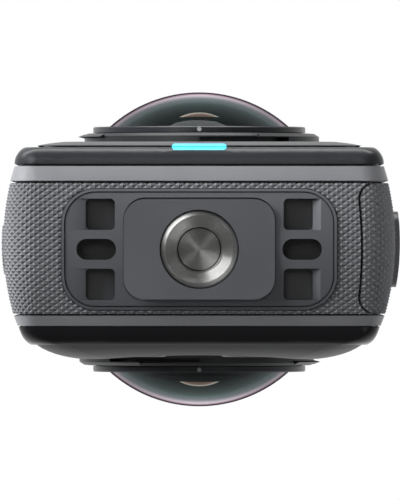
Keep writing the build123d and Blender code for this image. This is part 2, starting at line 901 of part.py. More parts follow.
front_cover = rounded_edge(
    front_band_inset, front_band_front, cover_line_inset, cover_line, front_cover_shares
)
front_cover -= body_plate(cover_wall, front_cover_inner, grip_front)
front_cover -= rim(front_band_inset + seam_depth, front_band_front - seam_gap, grip_front)
front_panel = rounded_edge(
    cover_line_inset + fit_gap, cover_line, front_face_inset, front_face, front_panel_shares
)
front_panel -= rim(cover_line_inset + seam_depth, cover_line - panel_seam_gap, cover_line + overrun)
front_cover -= through_depth(lens_hole, cover_line - overrun, grip_front)
front_panel -= through_depth(lens_hole, front_face - overrun, cover_line + overrun)

# Status light: a bar in the base edge of the front, across the line between panel and cover
light_length = 6.2
light_depth = 0.8
light_shift = 0.15
light_height = 5.0
light_place = Pos(0, cover_line - light_shift)


def light_bar(grow):
    """The status light's outline seen from the base, wider by the growth."""
    depth = light_depth + 2 * grow
    return light_place * RectangleRounded(light_length + 2 * grow, depth, depth * pill_share)


light_space = upward(light_bar(fit_gap), -overrun, base_stand_off + light_height)
status_light = (front_cover + front_panel) & upward(light_bar(0), -overrun, base_stand_off + light_height)
keep("status_light", status_light)
keep("front_cover", front_cover - light_space)
keep("front_panel", front_panel - light_space)

# Screen side: band, cover tray and panel, with the touchscreen set into the panel
back_frame_band = edge_band(grip_back, grip_back_inset + seam_gap / 2, back_band_back, back_band_inset)
back_frame_band -= rim(back_band_inset + seam_depth, back_band_back - seam_gap, back_face)
keep("back_frame_band", back_frame_band)

back_cover = rounded_edge(
    back_band_inset + fit_gap, back_band_back, back_cover_inset, back_cover_back, back_cover_shares
)
back_cover -= body_plate(cover_wall, grip_back, back_cover_inner)
back_cover -= through_depth(lens_hole, grip_back, back_face)
back_panel = rounded_edge(
    back_cover_inset + panel_step, back_cover_back, back_face_inset, back_face, back_panel_shares
)
back_panel -= through_depth(lens_hole, grip_back, back_face + overrun)

screen_low = 27.0
screen_drop = 1.2
screen_inset = 6.9
screen_corner = 3.0
glass_wall = 1.0
glass_sink = 0.15
display_margin = 1.4
display_depth = 1.3
scoop_half_width = 11.0
scoop_depth = 0.45
scoop_top = 23.5
screen_high = deck_z - screen_drop
screen_half_width = body_half_width - screen_inset


def screen_outline(inset):
    """The touchscreen's outline from the front, drawn in by the inset."""
    width = 2 * (screen_half_width - inset)
    height = screen_high - screen_low - 2 * inset
    outline = RectangleRounded(width, height, screen_corner - inset / 2)
    return Pos(0, (screen_low + screen_high) / 2) * outline


glass_back = back_face - glass_sink - glass_wall
keep("touchscreen_glass", through_depth(screen_outline(fit_gap), glass_back, glass_back + glass_wall))
back_panel -= through_depth(screen_outline(0), glass_back, back_face + overrun)
back_panel -= through_depth(screen_outline(display_margin), grip_back, back_face)
display_back = glass_back - display_depth
keep("display_module", through_depth(screen_outline(display_margin + fit_gap), display_back, glass_back))
back_cover -= through_depth(screen_outline(display_margin), grip_back, back_face)

# Shallow thumb scoop in the panel, where the two round buttons lie
scoop_radius = (scoop_half_width ** 2 + scoop_depth ** 2) / (2 * scoop_depth)
scoop = upward(
    Pos(0, back_face - scoop_depth + scoop_radius) * Circle(scoop_radius), -overrun, scoop_top
)
back_panel -= scoop

# Round buttons: X, Z and radius of each
round_button_places = {"shutter_button": (7.4, 15.0, 4.9), "mode_button": (-7.4, 15.0, 3.7)}
round_button_face = back_face - scoop_depth / 2
round_button_edge = 0.3
round_flange_reach = 0.7
round_flange_wall = 0.55
round_nub_radius = 1.0
round_nub_length = 0.7
back_switches = Part()
round_flange_high = back_cover_back - button_touch_gap
round_flange_low = round_flange_high - round_flange_wall
round_nub_low = round_flange_low - round_nub_length
back_switch_high = round_nub_low - button_travel - button_touch_gap
back_switch_low = back_switch_high - switch_depth
for node, (x, z, radius) in round_button_places.items():
    cap = tube_along_depth(x, z, radius, round_flange_low, round_button_face)
    edge = cap.edges().filter_by(GeomType.CIRCLE).sort_by(Axis.Y)[-1]
    cap = fillet(edge, round_button_edge)
    cap += tube_along_depth(x, z, radius + round_flange_reach, round_flange_low, round_flange_high)
    cap += tube_along_depth(x, z, round_nub_radius, round_nub_low, round_flange_low)
    keep(node, cap)
    back_panel -= tube_along_depth(x, z, radius + moving_gap, grip_back, back_face + overrun)
    pocket = radius + round_flange_reach + moving_gap
    back_cover -= tube_along_depth(x, z, pocket, grip_back, back_face)
    back_switches += block(
        x - switch_size / 2, x + switch_size / 2, back_switch_low, back_switch_high,
        z - switch_size / 2, z + switch_size / 2,
    )
keep("back_switches", back_switches)
keep("back_panel", back_panel)
keep("back_cover", back_cover)

# Boards behind the bay: the main board carries the processor's shield, the button board its switches
main_board_margin = 1.8
main_board_low = 9.0
main_board_gap = 0.1
shield_half_width = 8.5
shield_margin = 0.8
shield_drop = 2.2
shield_depth = 1.9
button_board_margin = 0.2
button_board_half_height = 5.0
main_board_front = bay_back + bay_wall + main_board_gap
main_board_back = main_board_front + board_wall
main_board_half_width = frame_inner_x - main_board_margin
keep(
    "main_board",
    block(
        -main_board_half_width, main_board_half_width, main_board_front, main_board_back,
        main_board_low, screen_high,
    ),
)
keep(
    "processor_shield",
    block(
        -shield_half_width, shield_half_width, main_board_front - shield_depth, main_board_front,
        bay_high + bay_wall + shield_margin, deck_z - shield_drop,
    ),
)
shutter_x, button_board_z, shutter_radius = round_button_places["shutter_button"]
button_board_half_width = shutter_x + shutter_radius + button_board_margin
keep(
    "button_board",
    block(
        -button_board_half_width, button_board_half_width, main_board_back, back_switch_low,
        button_board_z - button_board_half_height, button_board_z + button_board_half_height,
    ),
)

# Speaker by the left side, and the two microphones under the top with their ports
speaker_depth = 3.4
speaker_half_width = 5.0
speaker_drop = 1.7
microphone_x = 9.0
microphone_length = 3.0
microphone_width = 2.4
microphone_height = 1.1
port_radius = 0.4
speaker_slot_count = 4
speaker_slot_pitch = 1.8
speaker_slot_radius = 0.4
speaker_low = deck_z * speaker_height_share
speaker_high = deck_z - speaker_drop
keep(
    "speaker",
    block(
        -frame_inner_x + fit_gap, -frame_inner_x + fit_gap + speaker_depth,
        grip_middle - speaker_half_width, grip_middle + speaker_half_width, speaker_low, speaker_high,
    ),
)
frame_top = body_top - grip_wall - fit_gap - frame_wall
microphones = Part()
ports = Part()
for side in (-1, 1):
    microphones += block(
        side * microphone_x - microphone_length / 2, side * microphone_x + microphone_length / 2,
        grip_middle - microphone_width / 2, grip_middle + microphone_width / 2,
        frame_top - microphone_height, frame_top,
    )
    port = Pos(side * microphone_x, grip_middle) * Circle(port_radius)
    ports += upward(port, frame_top, body_top + overrun)
for row in range(speaker_slot_count):
    slot_z = (speaker_low + speaker_high) / 2 + (row - (speaker_slot_count - 1) / 2) * speaker_slot_pitch
    ports += through_width(
        Pos(grip_middle, slot_z) * Circle(speaker_slot_radius), -outside, -frame_inner_x
    )
keep("microphones", microphones)

# Base mount: a plate with quick-release pockets round a raised pad, and a steel tripod thread
plate_seam_margin = 2.525
plate_width = 13.75
plate_corner = 3.9
plate_lip = 0.35
plate_groove = 0.14
plate_groove_depth = 0.35
plate_sink = 0.12
pad_width = 11.3
pad_corner = 2.4
pad_pocket_margin = 0.97
pocket_inner_inset = 6.075
pocket_length = 3.3
pocket_width = 3.54
pocket_y = 3.95
pocket_corner = 0.55
pocket_depth = 2.0
ledge_length = 0.35
ledge_depth = 0.55
slot_inset = 3.975
slot_length = 4.46
slot_width = 2.36
slot_depth = 2.5
collar_radius = 4.42
collar_sink = 0.1
collar_land = 0.6
thread_radius = 2.5
thread_mouth_depth = 1.5
thread_depth = 6.0
insert_flange_radius = 5.6
insert_flange_wall = 1.0
insert_cap_wall = 1.2
chassis_half_width = 7.9
chassis_wall = 1.0
magnet_x = 6.6
magnet_radius = 1.6
magnet_wall = 1.6
screw_x = 7.2
screw_y = 5.0
screw_radius = 0.8
screw_length = 2.6
screw_head_radius = 1.4
screw_head_height = 0.8
plate_length = 2 * (door_seam_x - plate_seam_margin)
pocket_inner_x = plate_length / 2 - pocket_inner_inset
slot_x = plate_length / 2 - slot_inset
pad_length = 2 * (pocket_inner_x - pad_pocket_margin)
chassis_half_length = plate_length / 2
frame_floor = base_stand_off + grip_wall + fit_gap + frame_wall
chassis_top = frame_floor + chassis_wall


def plate_outline(inset):
    """The mount plate's outline from the base, drawn in by the inset."""
    return RectangleRounded(plate_length - 2 * inset, plate_width - 2 * inset, plate_corner - inset)


def under_bow(sink):
    """The space above the bowed base surface, sunk by the amount."""
    face = Plane.YZ * Polyline(
        (grip_front, base_stand_off + grip_front_inset), (grip_front, frame_floor),
        (grip_back, frame_floor), (grip_back, base_stand_off + grip_back_inset),
    )
    bow = ThreePointArc(
        (0, grip_front, base_stand_off + grip_front_inset),
        (0, grip_crown, base_stand_off),
        (0, grip_back, base_stand_off + grip_back_inset),
    )
    section = make_face(Curve() + [face, bow])
    return Pos(-plate_length, 0, sink) * extrude(section, 2 * plate_length, dir=(1, 0, 0))


mount_plate = upward(plate_outline(fit_gap), -overrun, frame_floor) & under_bow(plate_sink)
mount_plate += upward(
    plate_outline(fit_gap) - plate_outline(plate_lip), -overrun, frame_floor
) & under_bow(0)
groove_ring = plate_outline(plate_lip) - plate_outline(plate_lip + plate_groove)
mount_plate -= upward(groove_ring, -overrun, frame_floor) - under_bow(plate_groove_depth)
mount_plate += upward(RectangleRounded(pad_length, pad_width, pad_corner), 0, frame_floor)
for x_side in (-1, 1):
    for y_side in (-1, 1):
        pocket_x = x_side * (pocket_inner_x + pocket_length / 2)
        pocket = RectangleRounded(pocket_length, pocket_width, pocket_corner)
        mount_plate -= upward(Pos(pocket_x, y_side * pocket_y) * pocket, -overrun, pocket_depth)
        ledge_x = x_side * (pocket_inner_x + pocket_length)
        ledge = make_face(
            Polyline(
                (ledge_x - x_side * pocket_corner, -overrun),
                (ledge_x - x_side * pocket_corner, ledge_depth),
                (ledge_x, ledge_depth),
                (ledge_x + x_side * ledge_length, base_stand_off),
                (ledge_x + x_side * ledge_length, -overrun),
                close=True,
            )
        )
        low = y_side * pocket_y - pocket_width / 2
        mount_plate -= through_depth(ledge, low, low + pocket_width)
    slot = Pos(x_side * slot_x, 0) * RectangleRounded(slot_length, slot_width, slot_width * pill_share)
    mount_plate -= upward(slot, -overrun, slot_depth)
mount_plate -= upward(Circle(collar_radius + fit_gap), -overrun, frame_floor)

mount_magnets = Part()
mount_chassis = block(
    -chassis_half_length, chassis_half_length, -chassis_half_width, chassis_half_width,
    frame_floor, chassis_top,
)
mount_chassis -= upward(Circle(collar_radius + fit_gap), 0, chassis_top)
chassis_screws = Part()
for x_side in (-1, 1):
    magnet = Pos(x_side * magnet_x, 0) * Circle(magnet_radius)
    mount_magnets += upward(magnet, frame_floor - magnet_wall, frame_floor)
    mount_plate -= upward(
        Pos(x_side * magnet_x, 0) * Circle(magnet_radius + fit_gap), frame_floor - magnet_wall, frame_floor
    )
    for y_side in (-1, 1):
        place = Pos(x_side * screw_x, y_side * screw_y)
        shank = upward(place * Circle(screw_radius), chassis_top - screw_length, chassis_top)
        head = upward(place * Circle(screw_head_radius), chassis_top, chassis_top + screw_head_height)
        chassis_screws += shank + head
        hole = upward(place * Circle(screw_radius + fit_gap), chassis_top - screw_length, chassis_top)
        mount_plate -= hole
        mount_chassis -= hole
keep("mount_plate", mount_plate)
keep("mount_magnets", mount_magnets)
keep("mount_chassis", mount_chassis)
keep("chassis_screws", chassis_screws)

insert_top = chassis_top + insert_flange_wall
insert_outline = make_face(
    Polyline(
        (collar_radius - collar_land, collar_sink),
        (collar_radius, collar_sink),
        (collar_radius, chassis_top),
        (insert_flange_radius, chassis_top),
        (insert_flange_radius, insert_top),
        (collar_radius, insert_top),
        (collar_radius, thread_depth + insert_cap_wall),
        (0, thread_depth + insert_cap_wall),
        (0, thread_depth),
        (thread_radius, thread_depth),
        (thread_radius, thread_mouth_depth),
        close=True,
    )
)
keep("thread_insert", turned(insert_outline))

# Mid frame: the inner ring that carries every layer, with a deck under the lenses and the hinge lugs
deck_wall = 1.2
frame_inset = grip_wall + fit_gap
mid_frame = body_plate(frame_inset, front_band_front, back_band_back)
mid_frame -= body_plate(frame_inset + frame_wall, front_band_front, back_band_back)
deck_half_width = body_half_width - frame_inset - frame_wall / 2
mid_frame += block(
    -deck_half_width, deck_half_width, front_band_front, back_band_back, deck_z, deck_z + deck_wall
)
mid_frame -= upward(plate_outline(-fit_gap), -overrun, frame_floor)
mid_frame -= through_width(mouth(0), 0, outside)
mid_frame += hinge_lugs(
    door_pin_x, door_pin_z, frame_inner_x, door_knuckle_half_width, door_lug_width
)
mid_frame += hinge_lugs(
    flap_pin_x, flap_pin_z, -frame_inner_x, flap_knuckle_half_width, flap_lug_width
)
for pin_x, pin_z in ((door_pin_x, door_pin_z), (flap_pin_x, flap_pin_z)):
    mid_frame -= tube_along_depth(pin_x, pin_z, pin_radius + pin_running_gap / 2, -outside, outside)
mid_frame -= through_width(usb_pill(-fit_gap), -outside, -frame_inner_x + overrun)
for place in side_button_places.values():
    window = side_pill(place, side_button_flange + moving_gap)
    mid_frame -= through_width(window, -outside, -frame_inner_x + overrun)
mid_frame -= ports
keep("mid_frame", mid_frame)

grip_shell -= door_space(door_gap) + flap_space(door_gap)
grip_shell -= hinge_relief(
    door_pin_x, outside, door_pin_z, door_pin_z + door_pin_inset + 2 * door_gap, outside
)
grip_shell -= hinge_relief(
    flap_pin_x, -outside, flap_pin_z, flap_pin_z - flap_pin_inset - 2 * door_gap,
    flap_half_width + 2 * door_gap,
)
grip_shell -= hinge_lugs(
    door_pin_x, door_pin_z, frame_inner_x, door_knuckle_half_width, door_lug_width, fit_gap
)
grip_shell -= hinge_lugs(
    flap_pin_x, flap_pin_z, -frame_inner_x, flap_knuckle_half_width, flap_lug_width, fit_gap
)
for place in side_button_places.values():
    grip_shell -= through_width(side_pill(place, moving_gap), -outside, -corner_x)
grip_shell -= upward(plate_outline(-fit_gap / 2), -overrun, frame_floor)
grip_shell -= ports
keep("grip_shell", grip_shell)
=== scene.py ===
import bpy
import bmesh
import json
import math
from mathutils import Matrix, Vector

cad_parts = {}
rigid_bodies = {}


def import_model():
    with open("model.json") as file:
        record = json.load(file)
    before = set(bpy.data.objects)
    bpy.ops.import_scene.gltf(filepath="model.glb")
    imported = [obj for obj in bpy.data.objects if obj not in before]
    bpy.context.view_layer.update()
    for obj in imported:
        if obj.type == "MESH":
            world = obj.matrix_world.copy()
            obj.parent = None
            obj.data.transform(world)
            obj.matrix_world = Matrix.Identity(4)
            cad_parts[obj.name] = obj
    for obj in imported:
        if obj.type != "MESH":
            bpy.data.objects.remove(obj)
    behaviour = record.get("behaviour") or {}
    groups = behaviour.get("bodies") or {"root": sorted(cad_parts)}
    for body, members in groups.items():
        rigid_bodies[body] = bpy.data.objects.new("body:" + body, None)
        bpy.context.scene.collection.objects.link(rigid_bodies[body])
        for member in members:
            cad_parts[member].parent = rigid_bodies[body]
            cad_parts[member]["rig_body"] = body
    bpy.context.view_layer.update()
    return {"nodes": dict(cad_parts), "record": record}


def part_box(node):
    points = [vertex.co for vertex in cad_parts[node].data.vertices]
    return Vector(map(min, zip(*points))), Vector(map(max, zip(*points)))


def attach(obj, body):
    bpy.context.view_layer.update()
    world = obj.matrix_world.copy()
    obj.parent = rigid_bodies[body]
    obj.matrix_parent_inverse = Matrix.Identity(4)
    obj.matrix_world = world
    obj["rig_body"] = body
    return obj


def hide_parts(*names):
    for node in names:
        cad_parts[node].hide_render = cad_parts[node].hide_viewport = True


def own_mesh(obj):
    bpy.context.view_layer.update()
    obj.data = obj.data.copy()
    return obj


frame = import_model()
nodes = frame["nodes"]
scene = bpy.context.scene
scene.view_settings.view_transform = "Standard"
mm = 0.001
tolerance = {"merge": 0.0005 * mm, "weld": 0.002 * mm, "foldAngle": 30}
print("frame loaded with", len(nodes), "solid pieces")


# Shader building blocks

def freshMaterial(name):
    material = bpy.data.materials.new(name)
    material.use_nodes = True
    tree = material.node_tree
    tree.nodes.clear()
    out = tree.nodes.new("ShaderNodeOutputMaterial")
    shader = tree.nodes.new("ShaderNodeBsdfPrincipled")
    tree.links.new(shader.outputs["BSDF"], out.inputs["Surface"])
    return material, tree, shader


def objectCoords(tree, scale=(1, 1, 1)):
    coords = tree.nodes.new("ShaderNodeTexCoord")
    mapping = tree.nodes.new("ShaderNodeMapping")
    mapping.inputs["Scale"].default_value = scale
    tree.links.new(coords.outputs["Object"], mapping.inputs["Vector"])
    return mapping.outputs["Vector"]


def speckle(tree, vector, scale, detail, rough=0.5):
    noise = tree.nodes.new("ShaderNodeTexNoise")
    noise.inputs["Scale"].default_value = scale
    noise.inputs["Detail"].default_value = detail
    noise.inputs["Roughness"].default_value = rough
    tree.links.new(vector, noise.inputs["Vector"])
    return noise.outputs["Fac"]


def remap(tree, value, low, high, fromLow=0.0, fromHigh=1.0):
    node = tree.nodes.new("ShaderNodeMapRange")
    node.inputs["From Min"].default_value = fromLow
    node.inputs["From Max"].default_value = fromHigh
    node.inputs["To Min"].default_value = low
    node.inputs["To Max"].default_value = high
    tree.links.new(value, node.inputs["Value"])
    return node.outputs["Result"]


def tintBetween(tree, factor, dark, light):
    mix = tree.nodes.new("ShaderNodeMix")
    mix.data_type = "RGBA"
    mix.inputs["A"].default_value = (*dark, 1)
    mix.inputs["B"].default_value = (*light, 1)
    tree.links.new(factor, mix.inputs["Factor"])
    return mix.outputs["Result"]


def colourRamp(tree, value, stops):
    ramp = tree.nodes.new("ShaderNodeValToRGB")
    while len(ramp.color_ramp.elements) < len(stops):
        ramp.color_ramp.elements.new(0.5)
    for element, (place, colour) in zip(ramp.color_ramp.elements, stops):
        element.position = place
        element.color = (*colour, 1)
    tree.links.new(value, ramp.inputs["Fac"])
    return ramp.outputs["Color"]


def axesOf(tree, vector):
    split = tree.nodes.new("ShaderNodeSeparateXYZ")
    tree.links.new(vector, split.inputs["Vector"])
    return split.outputs


def linkChain(tree, pairs):
    for source, target in pairs:
        tree.links.new(source, target)


def mathNode(tree, operation, first, second=None):
    node = tree.nodes.new("ShaderNodeMath")
    node.operation = operation
    for slot, value in enumerate((first, second)):
        if value is None:
            continue
        if isinstance(value, (int, float)):
            node.inputs[slot].default_value = value
        else:
            tree.links.new(value, node.inputs[slot])
    return node.outputs[0]


def vectorNode(tree, operation, first, second=None, scale=None):
    node = tree.nodes.new("ShaderNodeVectorMath")
    node.operation = operation
    for slot, value in enumerate((first, second)):
        if value is not None:
            tree.links.new(value, node.inputs[slot])
    if scale is not None:
        tree.links.new(scale, node.inputs["Scale"])
    return node.outputs[0]


def addBump(tree, shader, height, distance, strength):
    bump = tree.nodes.new("ShaderNodeBump")
    bump.inputs["Strength"].default_value = strength
    bump.inputs["Distance"].default_value = distance
    tree.links.new(height, bump.inputs["Height"])
    tree.links.new(bump.outputs["Normal"], shader.inputs["Normal"])


def paintCreviceShade(tree, tint, reach):
    # painted shade: darker in crevices narrower than the reach, from an ambient occlusion node
    look = {"samples": 6, "left": 0.08, "openness": (0.15, 0.55)}
    crevice = tree.nodes.new("ShaderNodeAmbientOcclusion")
    crevice.samples = look["samples"]
    crevice.inputs["Distance"].default_value = reach * mm
    level = remap(tree, crevice.outputs["AO"], look["left"], 1.0, *look["openness"])
    return vectorNode(tree, "SCALE", tint, scale=level)


def shadeDepth(tree, vector, tint, fade):
    # darker towards the floors of the pockets, which little light reaches
    start, end, left = fade
    level = remap(tree, axesOf(tree, vector)["Z"], 1.0, left, start * mm, end * mm)
    return vectorNode(tree, "SCALE", tint, scale=level)


# Finishes: what all moulded and all brushed ones share, then each slot's own values

moulded = {
    "spread": 0.08, "cloudScale": 70.0, "cloudWindow": (0.35, 0.65), "grainWindow": (0.3, 0.7),
    # seam: reach of the painted crevice shade, in millimetres
    "bumpStrength": 0.5, "seam": 0.5, "metal": 0.0, "specular": 0.5,
}
brushed = {
    "stretch": (1, 1, 12), "shares": (0.82, 1.12), "streakWindow": (0.3, 0.7),
    "bump": 0.01, "bumpStrength": 0.4,
}


def mouldedFinish(name, own):
    look = {**moulded, **own}
    material, tree, shader = freshMaterial(name)
    vector = objectCoords(tree)
    grain = speckle(tree, vector, look["grainScale"], detail=4.0, rough=0.6)
    cloud = speckle(tree, vector, look["cloudScale"], detail=2.0)
    dark = [c * (1 - look["spread"]) for c in look["colour"]]
    light = [min(1, c * (1 + look["spread"])) for c in look["colour"]]
    tint = tintBetween(tree, remap(tree, cloud, 0, 1, *look["cloudWindow"]), dark, light)
    # painted shade in crevices, then in deep pockets where the finish gives a depth fade
    shaded = paintCreviceShade(tree, tint, look["seam"])
    if "deep" in look:
        shaded = shadeDepth(tree, vector, shaded, look["deep"])
    tree.links.new(shaded, shader.inputs["Base Color"])
    rough = remap(tree, grain, *look["rough"], *look["grainWindow"])
    tree.links.new(rough, shader.inputs["Roughness"])
    shader.inputs["Metallic"].default_value = look["metal"]
    shader.inputs["Specular IOR Level"].default_value = look["specular"]
    addBump(tree, shader, grain, look["bump"] * mm, look["bumpStrength"])
    return material


def brushedFinish(name, own):
    look = {**brushed, **own}
    material, tree, shader = freshMaterial(name)
    vector = objectCoords(tree, look["stretch"])
    streaks = speckle(tree, vector, look["grainScale"], detail=5.0, rough=0.65)
    dark, light = ([min(1, c * share) for c in look["colour"]] for share in look["shares"])
    tint = tintBetween(tree, remap(tree, streaks, 0, 1, *look["streakWindow"]), dark, light)
    tree.links.new(tint, shader.inputs["Base Color"])
    rough = remap(tree, streaks, *look["rough"], *look["streakWindow"])
    tree.links.new(rough, shader.inputs["Roughness"])
    shader.inputs["Metallic"].default_value = 1.0
    addBump(tree, shader, streaks, look["bump"] * mm, look["bumpStrength"])
    return material


finishes = {
    "textured_grip": {
        "colour": (0.096, 0.098, 0.104), "rough": (0.42, 0.56), "grainScale": 9000, "bump": 0.01,
        "specular": 0.25,
    },
    "satin_trim": {
        "colour": (0.130, 0.132, 0.140), "rough": (0.30, 0.40), "grainScale": 12000, "bump": 0.006,
    },
    "dark_cover": {
        "colour": (0.015, 0.016, 0.018), "rough": (0.26, 0.34), "grainScale": 12000, "bump": 0.004,
        # seam: a shorter reach of the painted crevice shade
        "specular": 0.38, "seam": 0.2,
    },
    "grey_panel": {
        "colour": (0.052, 0.053, 0.057), "rough": (0.38, 0.48), "grainScale": 9000, "bump": 0.008,
        "specular": 0.25, "spread": 0.03,
    },
    "black_gloss": {
        "colour": (0.006, 0.006, 0.007), "rough": (0.10, 0.16), "grainScale": 6000, "bump": 0.001,
        "specular": 0.35,
    },
    "frame_metal": {
        "colour": (0.20, 0.20, 0.21), "rough": (0.35, 0.5), "grainScale": 6000, "bump": 0.01, "metal": 0.6,
    },
    "black_part": {"colour": (0.012, 0.012, 0.013), "rough": (0.5, 0.65), "grainScale": 8000, "bump": 0.01},
    "button": {"colour": (0.03, 0.03, 0.033), "rough": (0.28, 0.38), "grainScale": 9000, "bump": 0.004},
    "seal": {"colour": (0.015, 0.015, 0.016), "rough": (0.6, 0.75), "grainScale": 7000, "bump": 0.01},
    "battery": {"colour": (0.04, 0.041, 0.044), "rough": (0.35, 0.5), "grainScale": 4000, "bump": 0.01},
    "mount_plate": {
        "colour": (0.050, 0.052, 0.058), "rough": (0.42, 0.52), "grainScale": 11000, "bump": 0.012,
        "deep": (0.9, 2.5, 0.12),
    },
    "lens_ring": {
        "colour": (0.010, 0.011, 0.013), "rough": (0.26, 0.36), "grainScale": 9000, "bump": 0.004,
        "specular": 0.45,
    },
    "lens_base": {
        "colour": (0.010, 0.011, 0.012), "rough": (0.34, 0.46), "grainScale": 8000, "bump": 0.008,
        "specular": 0.45,
    },
}
brushedFinishes = {
    "steel": {"colour": (0.42, 0.42, 0.43), "rough": (0.25, 0.38), "grainScale": 2500},
    "gold": {"colour": (0.75, 0.52, 0.18), "rough": (0.2, 0.3), "grainScale": 3000},
    "spreader": {"colour": (0.6, 0.6, 0.6), "rough": (0.3, 0.45), "grainScale": 2500},
    "thread_steel": {"colour": (0.5, 0.49, 0.47), "rough": (0.22, 0.34), "grainScale": 1800},
}
materials = {slot: mouldedFinish(slot, look) for slot, look in finishes.items()}
materials.update({slot: brushedFinish(slot, look) for slot, look in brushedFinishes.items()})


def boardFinish():
    look = {
        "mask": (0.006, 0.035, 0.018), "paler": 1.3, "track": (0.012, 0.075, 0.036),
        "trackScale": 900, "trackWidth": 0.03, "rough": 0.35,
    }
    material, tree, shader = freshMaterial("board")
    brick = tree.nodes.new("ShaderNodeTexBrick")
    brick.inputs["Scale"].default_value = look["trackScale"]
    brick.inputs["Color1"].default_value = (*look["mask"], 1)
    brick.inputs["Color2"].default_value = (*[c * look["paler"] for c in look["mask"]], 1)
    brick.inputs["Mortar"].default_value = (*look["track"], 1)
    brick.inputs["Mortar Size"].default_value = look["trackWidth"]
    tree.links.new(objectCoords(tree), brick.inputs["Vector"])
    tree.links.new(brick.outputs["Color"], shader.inputs["Base Color"])
    shader.inputs["Roughness"].default_value = look["rough"]
    return material


def screenGlassFinish():
    look = {"colour": (0.004, 0.004, 0.005), "ior": 1.5, "rough": (0.03, 0.06), "grainScale": 3000}
    material, tree, shader = freshMaterial("screen_glass")
    grain = speckle(tree, objectCoords(tree), look["grainScale"], detail=2.0)
    shader.inputs["Base Color"].default_value = (*look["colour"], 1)
    shader.inputs["IOR"].default_value = look["ior"]
    tree.links.new(remap(tree, grain, *look["rough"]), shader.inputs["Roughness"])
    return material


def lightBarFinish():
    look = {
        "glow": (0.03, 0.70, 0.90), "power": 0.52, "edge": (0.02, 0.30, 0.42), "blend": 0.35, "rough": 0.25,
    }
    material, tree, shader = freshMaterial("status_light")
    facing = tree.nodes.new("ShaderNodeLayerWeight")
    facing.inputs["Blend"].default_value = look["blend"]
    glow = tintBetween(tree, facing.outputs["Facing"], look["glow"], look["edge"])
    tree.links.new(glow, shader.inputs["Emission Color"])
    shader.inputs["Base Color"].default_value = (*look["edge"], 1)
    shader.inputs["Emission Strength"].default_value = look["power"]
    shader.inputs["Roughness"].default_value = look["rough"]
    return material


def rampByAngle(tree, stops):
    facing = tree.nodes.new("ShaderNodeLayerWeight")
    facing.inputs["Blend"].default_value = 0.5
    return colourRamp(tree, facing.outputs["Facing"], stops)


def domeFinish():
    look = {
        "glass": (0.11, 0.17, 0.165), "ior": 1.45, "mirror": (0.03, 0.03, 0.03),
        "rough": (0.0, 0.012), "grainScale": 3000,
        "sheen": (
            (0.0, (0.0, 0.0, 0.0)), (0.46, (0.004, 0.008, 0.008)), (0.60, (0.06, 0.12, 0.115)),
            (0.70, (0.26, 0.28, 0.31)), (0.78, (0.80, 0.70, 0.78)), (0.83, (0.52, 0.38, 0.47)),
            (0.86, (0.07, 0.04, 0.06)),
        ),
        # aside: share of the coating's reflection left where the surface faces sideways, a painted shade
        "sheenRough": 0.05, "aside": 0.45, "sideShadeReach": (0.05, 0.5),
        "cover": ((0.0, 0.10), (0.45, 0.25), (0.62, 0.50), (0.74, 0.85), (0.86, 0.97)),
    }
    material, tree, shader = freshMaterial("lens_glass")
    shader.inputs["Base Color"].default_value = (*look["glass"], 1)
    shader.inputs["IOR"].default_value = look["ior"]
    shader.inputs["Transmission Weight"].default_value = 1.0
    shader.inputs["Specular Tint"].default_value = (*look["mirror"], 1)
    grain = speckle(tree, objectCoords(tree), look["grainScale"], detail=2.0)
    tree.links.new(remap(tree, grain, *look["rough"]), shader.inputs["Roughness"])
    coating = tree.nodes.new("ShaderNodeBsdfAnisotropic")
    coating.inputs["Roughness"].default_value = look["sheenRough"]
    # painted shade: the coating's reflection is dimmed where the surface faces left or right, by the world
    # normal's X
    surface = tree.nodes.new("ShaderNodeNewGeometry")
    sideways = mathNode(tree, "ABSOLUTE", axesOf(tree, surface.outputs["Normal"])["X"])
    aside = remap(tree, sideways, 1.0, look["aside"], *look["sideShadeReach"])
    sheen = vectorNode(tree, "SCALE", rampByAngle(tree, look["sheen"]), scale=aside)
    tree.links.new(sheen, coating.inputs["Color"])
    cover = rampByAngle(tree, [(place, (level, level, level)) for place, level in look["cover"]])
    both = tree.nodes.new("ShaderNodeMixShader")
    tree.links.new(cover, both.inputs["Fac"])
    tree.links.new(shader.outputs["BSDF"], both.inputs[1])
    tree.links.new(coating.outputs["BSDF"], both.inputs[2])
    out = next(node for node in tree.nodes if node.type == "OUTPUT_MATERIAL")
    tree.links.new(both.outputs["Shader"], out.inputs["Surface"])
    return material


def coatedElementPaintedGleam():
    look = {
        "gleamByAngle": (
            (0.0, (0.03, 0.015, 0.012)), (0.55, (0.22, 0.09, 0.07)),
            (0.72, (0.46, 0.19, 0.15)), (0.80, (1.0, 0.60, 0.55)),
        ),
        # glow: strength of the painted reflection, given off as emission
        "rough": 0.3, "coat": 0.1, "coatRough": 0.04, "glow": 4.4,
    }
    material, tree, shader = freshMaterial("coated_element_painted_gleam")
    # painted reflection: colour and glow by facing angle stand in for the light the coated element reflects;
    # it glows though it is no lamp
    tint = rampByAngle(tree, look["gleamByAngle"])
    tree.links.new(tint, shader.inputs["Base Color"])
    tree.links.new(tint, shader.inputs["Emission Color"])
    shader.inputs["Emission Strength"].default_value = look["glow"]
    shader.inputs["Roughness"].default_value = look["rough"]
    shader.inputs["Coat Weight"].default_value = look["coat"]
    shader.inputs["Coat Roughness"].default_value = look["coatRough"]
    return material


materials["board"] = boardFinish()
materials["status_light"] = lightBarFinish()
materials["screen_glass"] = screenGlassFinish()
materials["lens_glass"] = domeFinish()

slotOf = {part["node"]: part["material_slot"] for part in frame["record"]["subparts"]}
coatedElement = coatedElementPaintedGleam()
# the inner lenses take the painted reflection
ownFinish = {"front_inner_lens": coatedElement, "back_inner_lens": coatedElement}
for name, node in nodes.items():
    node.data.materials.clear()
    node.data.materials.append(ownFinish.get(name, materials[slotOf[name]]))
    node.visible_shadow = slotOf[name] != "lens_glass"  # clear glass lets the lamps reach what is under it
print("finishes:", len(materials))


# Diamond-cut skin: one cutting ring round the grip, carved out of every piece that shows in it

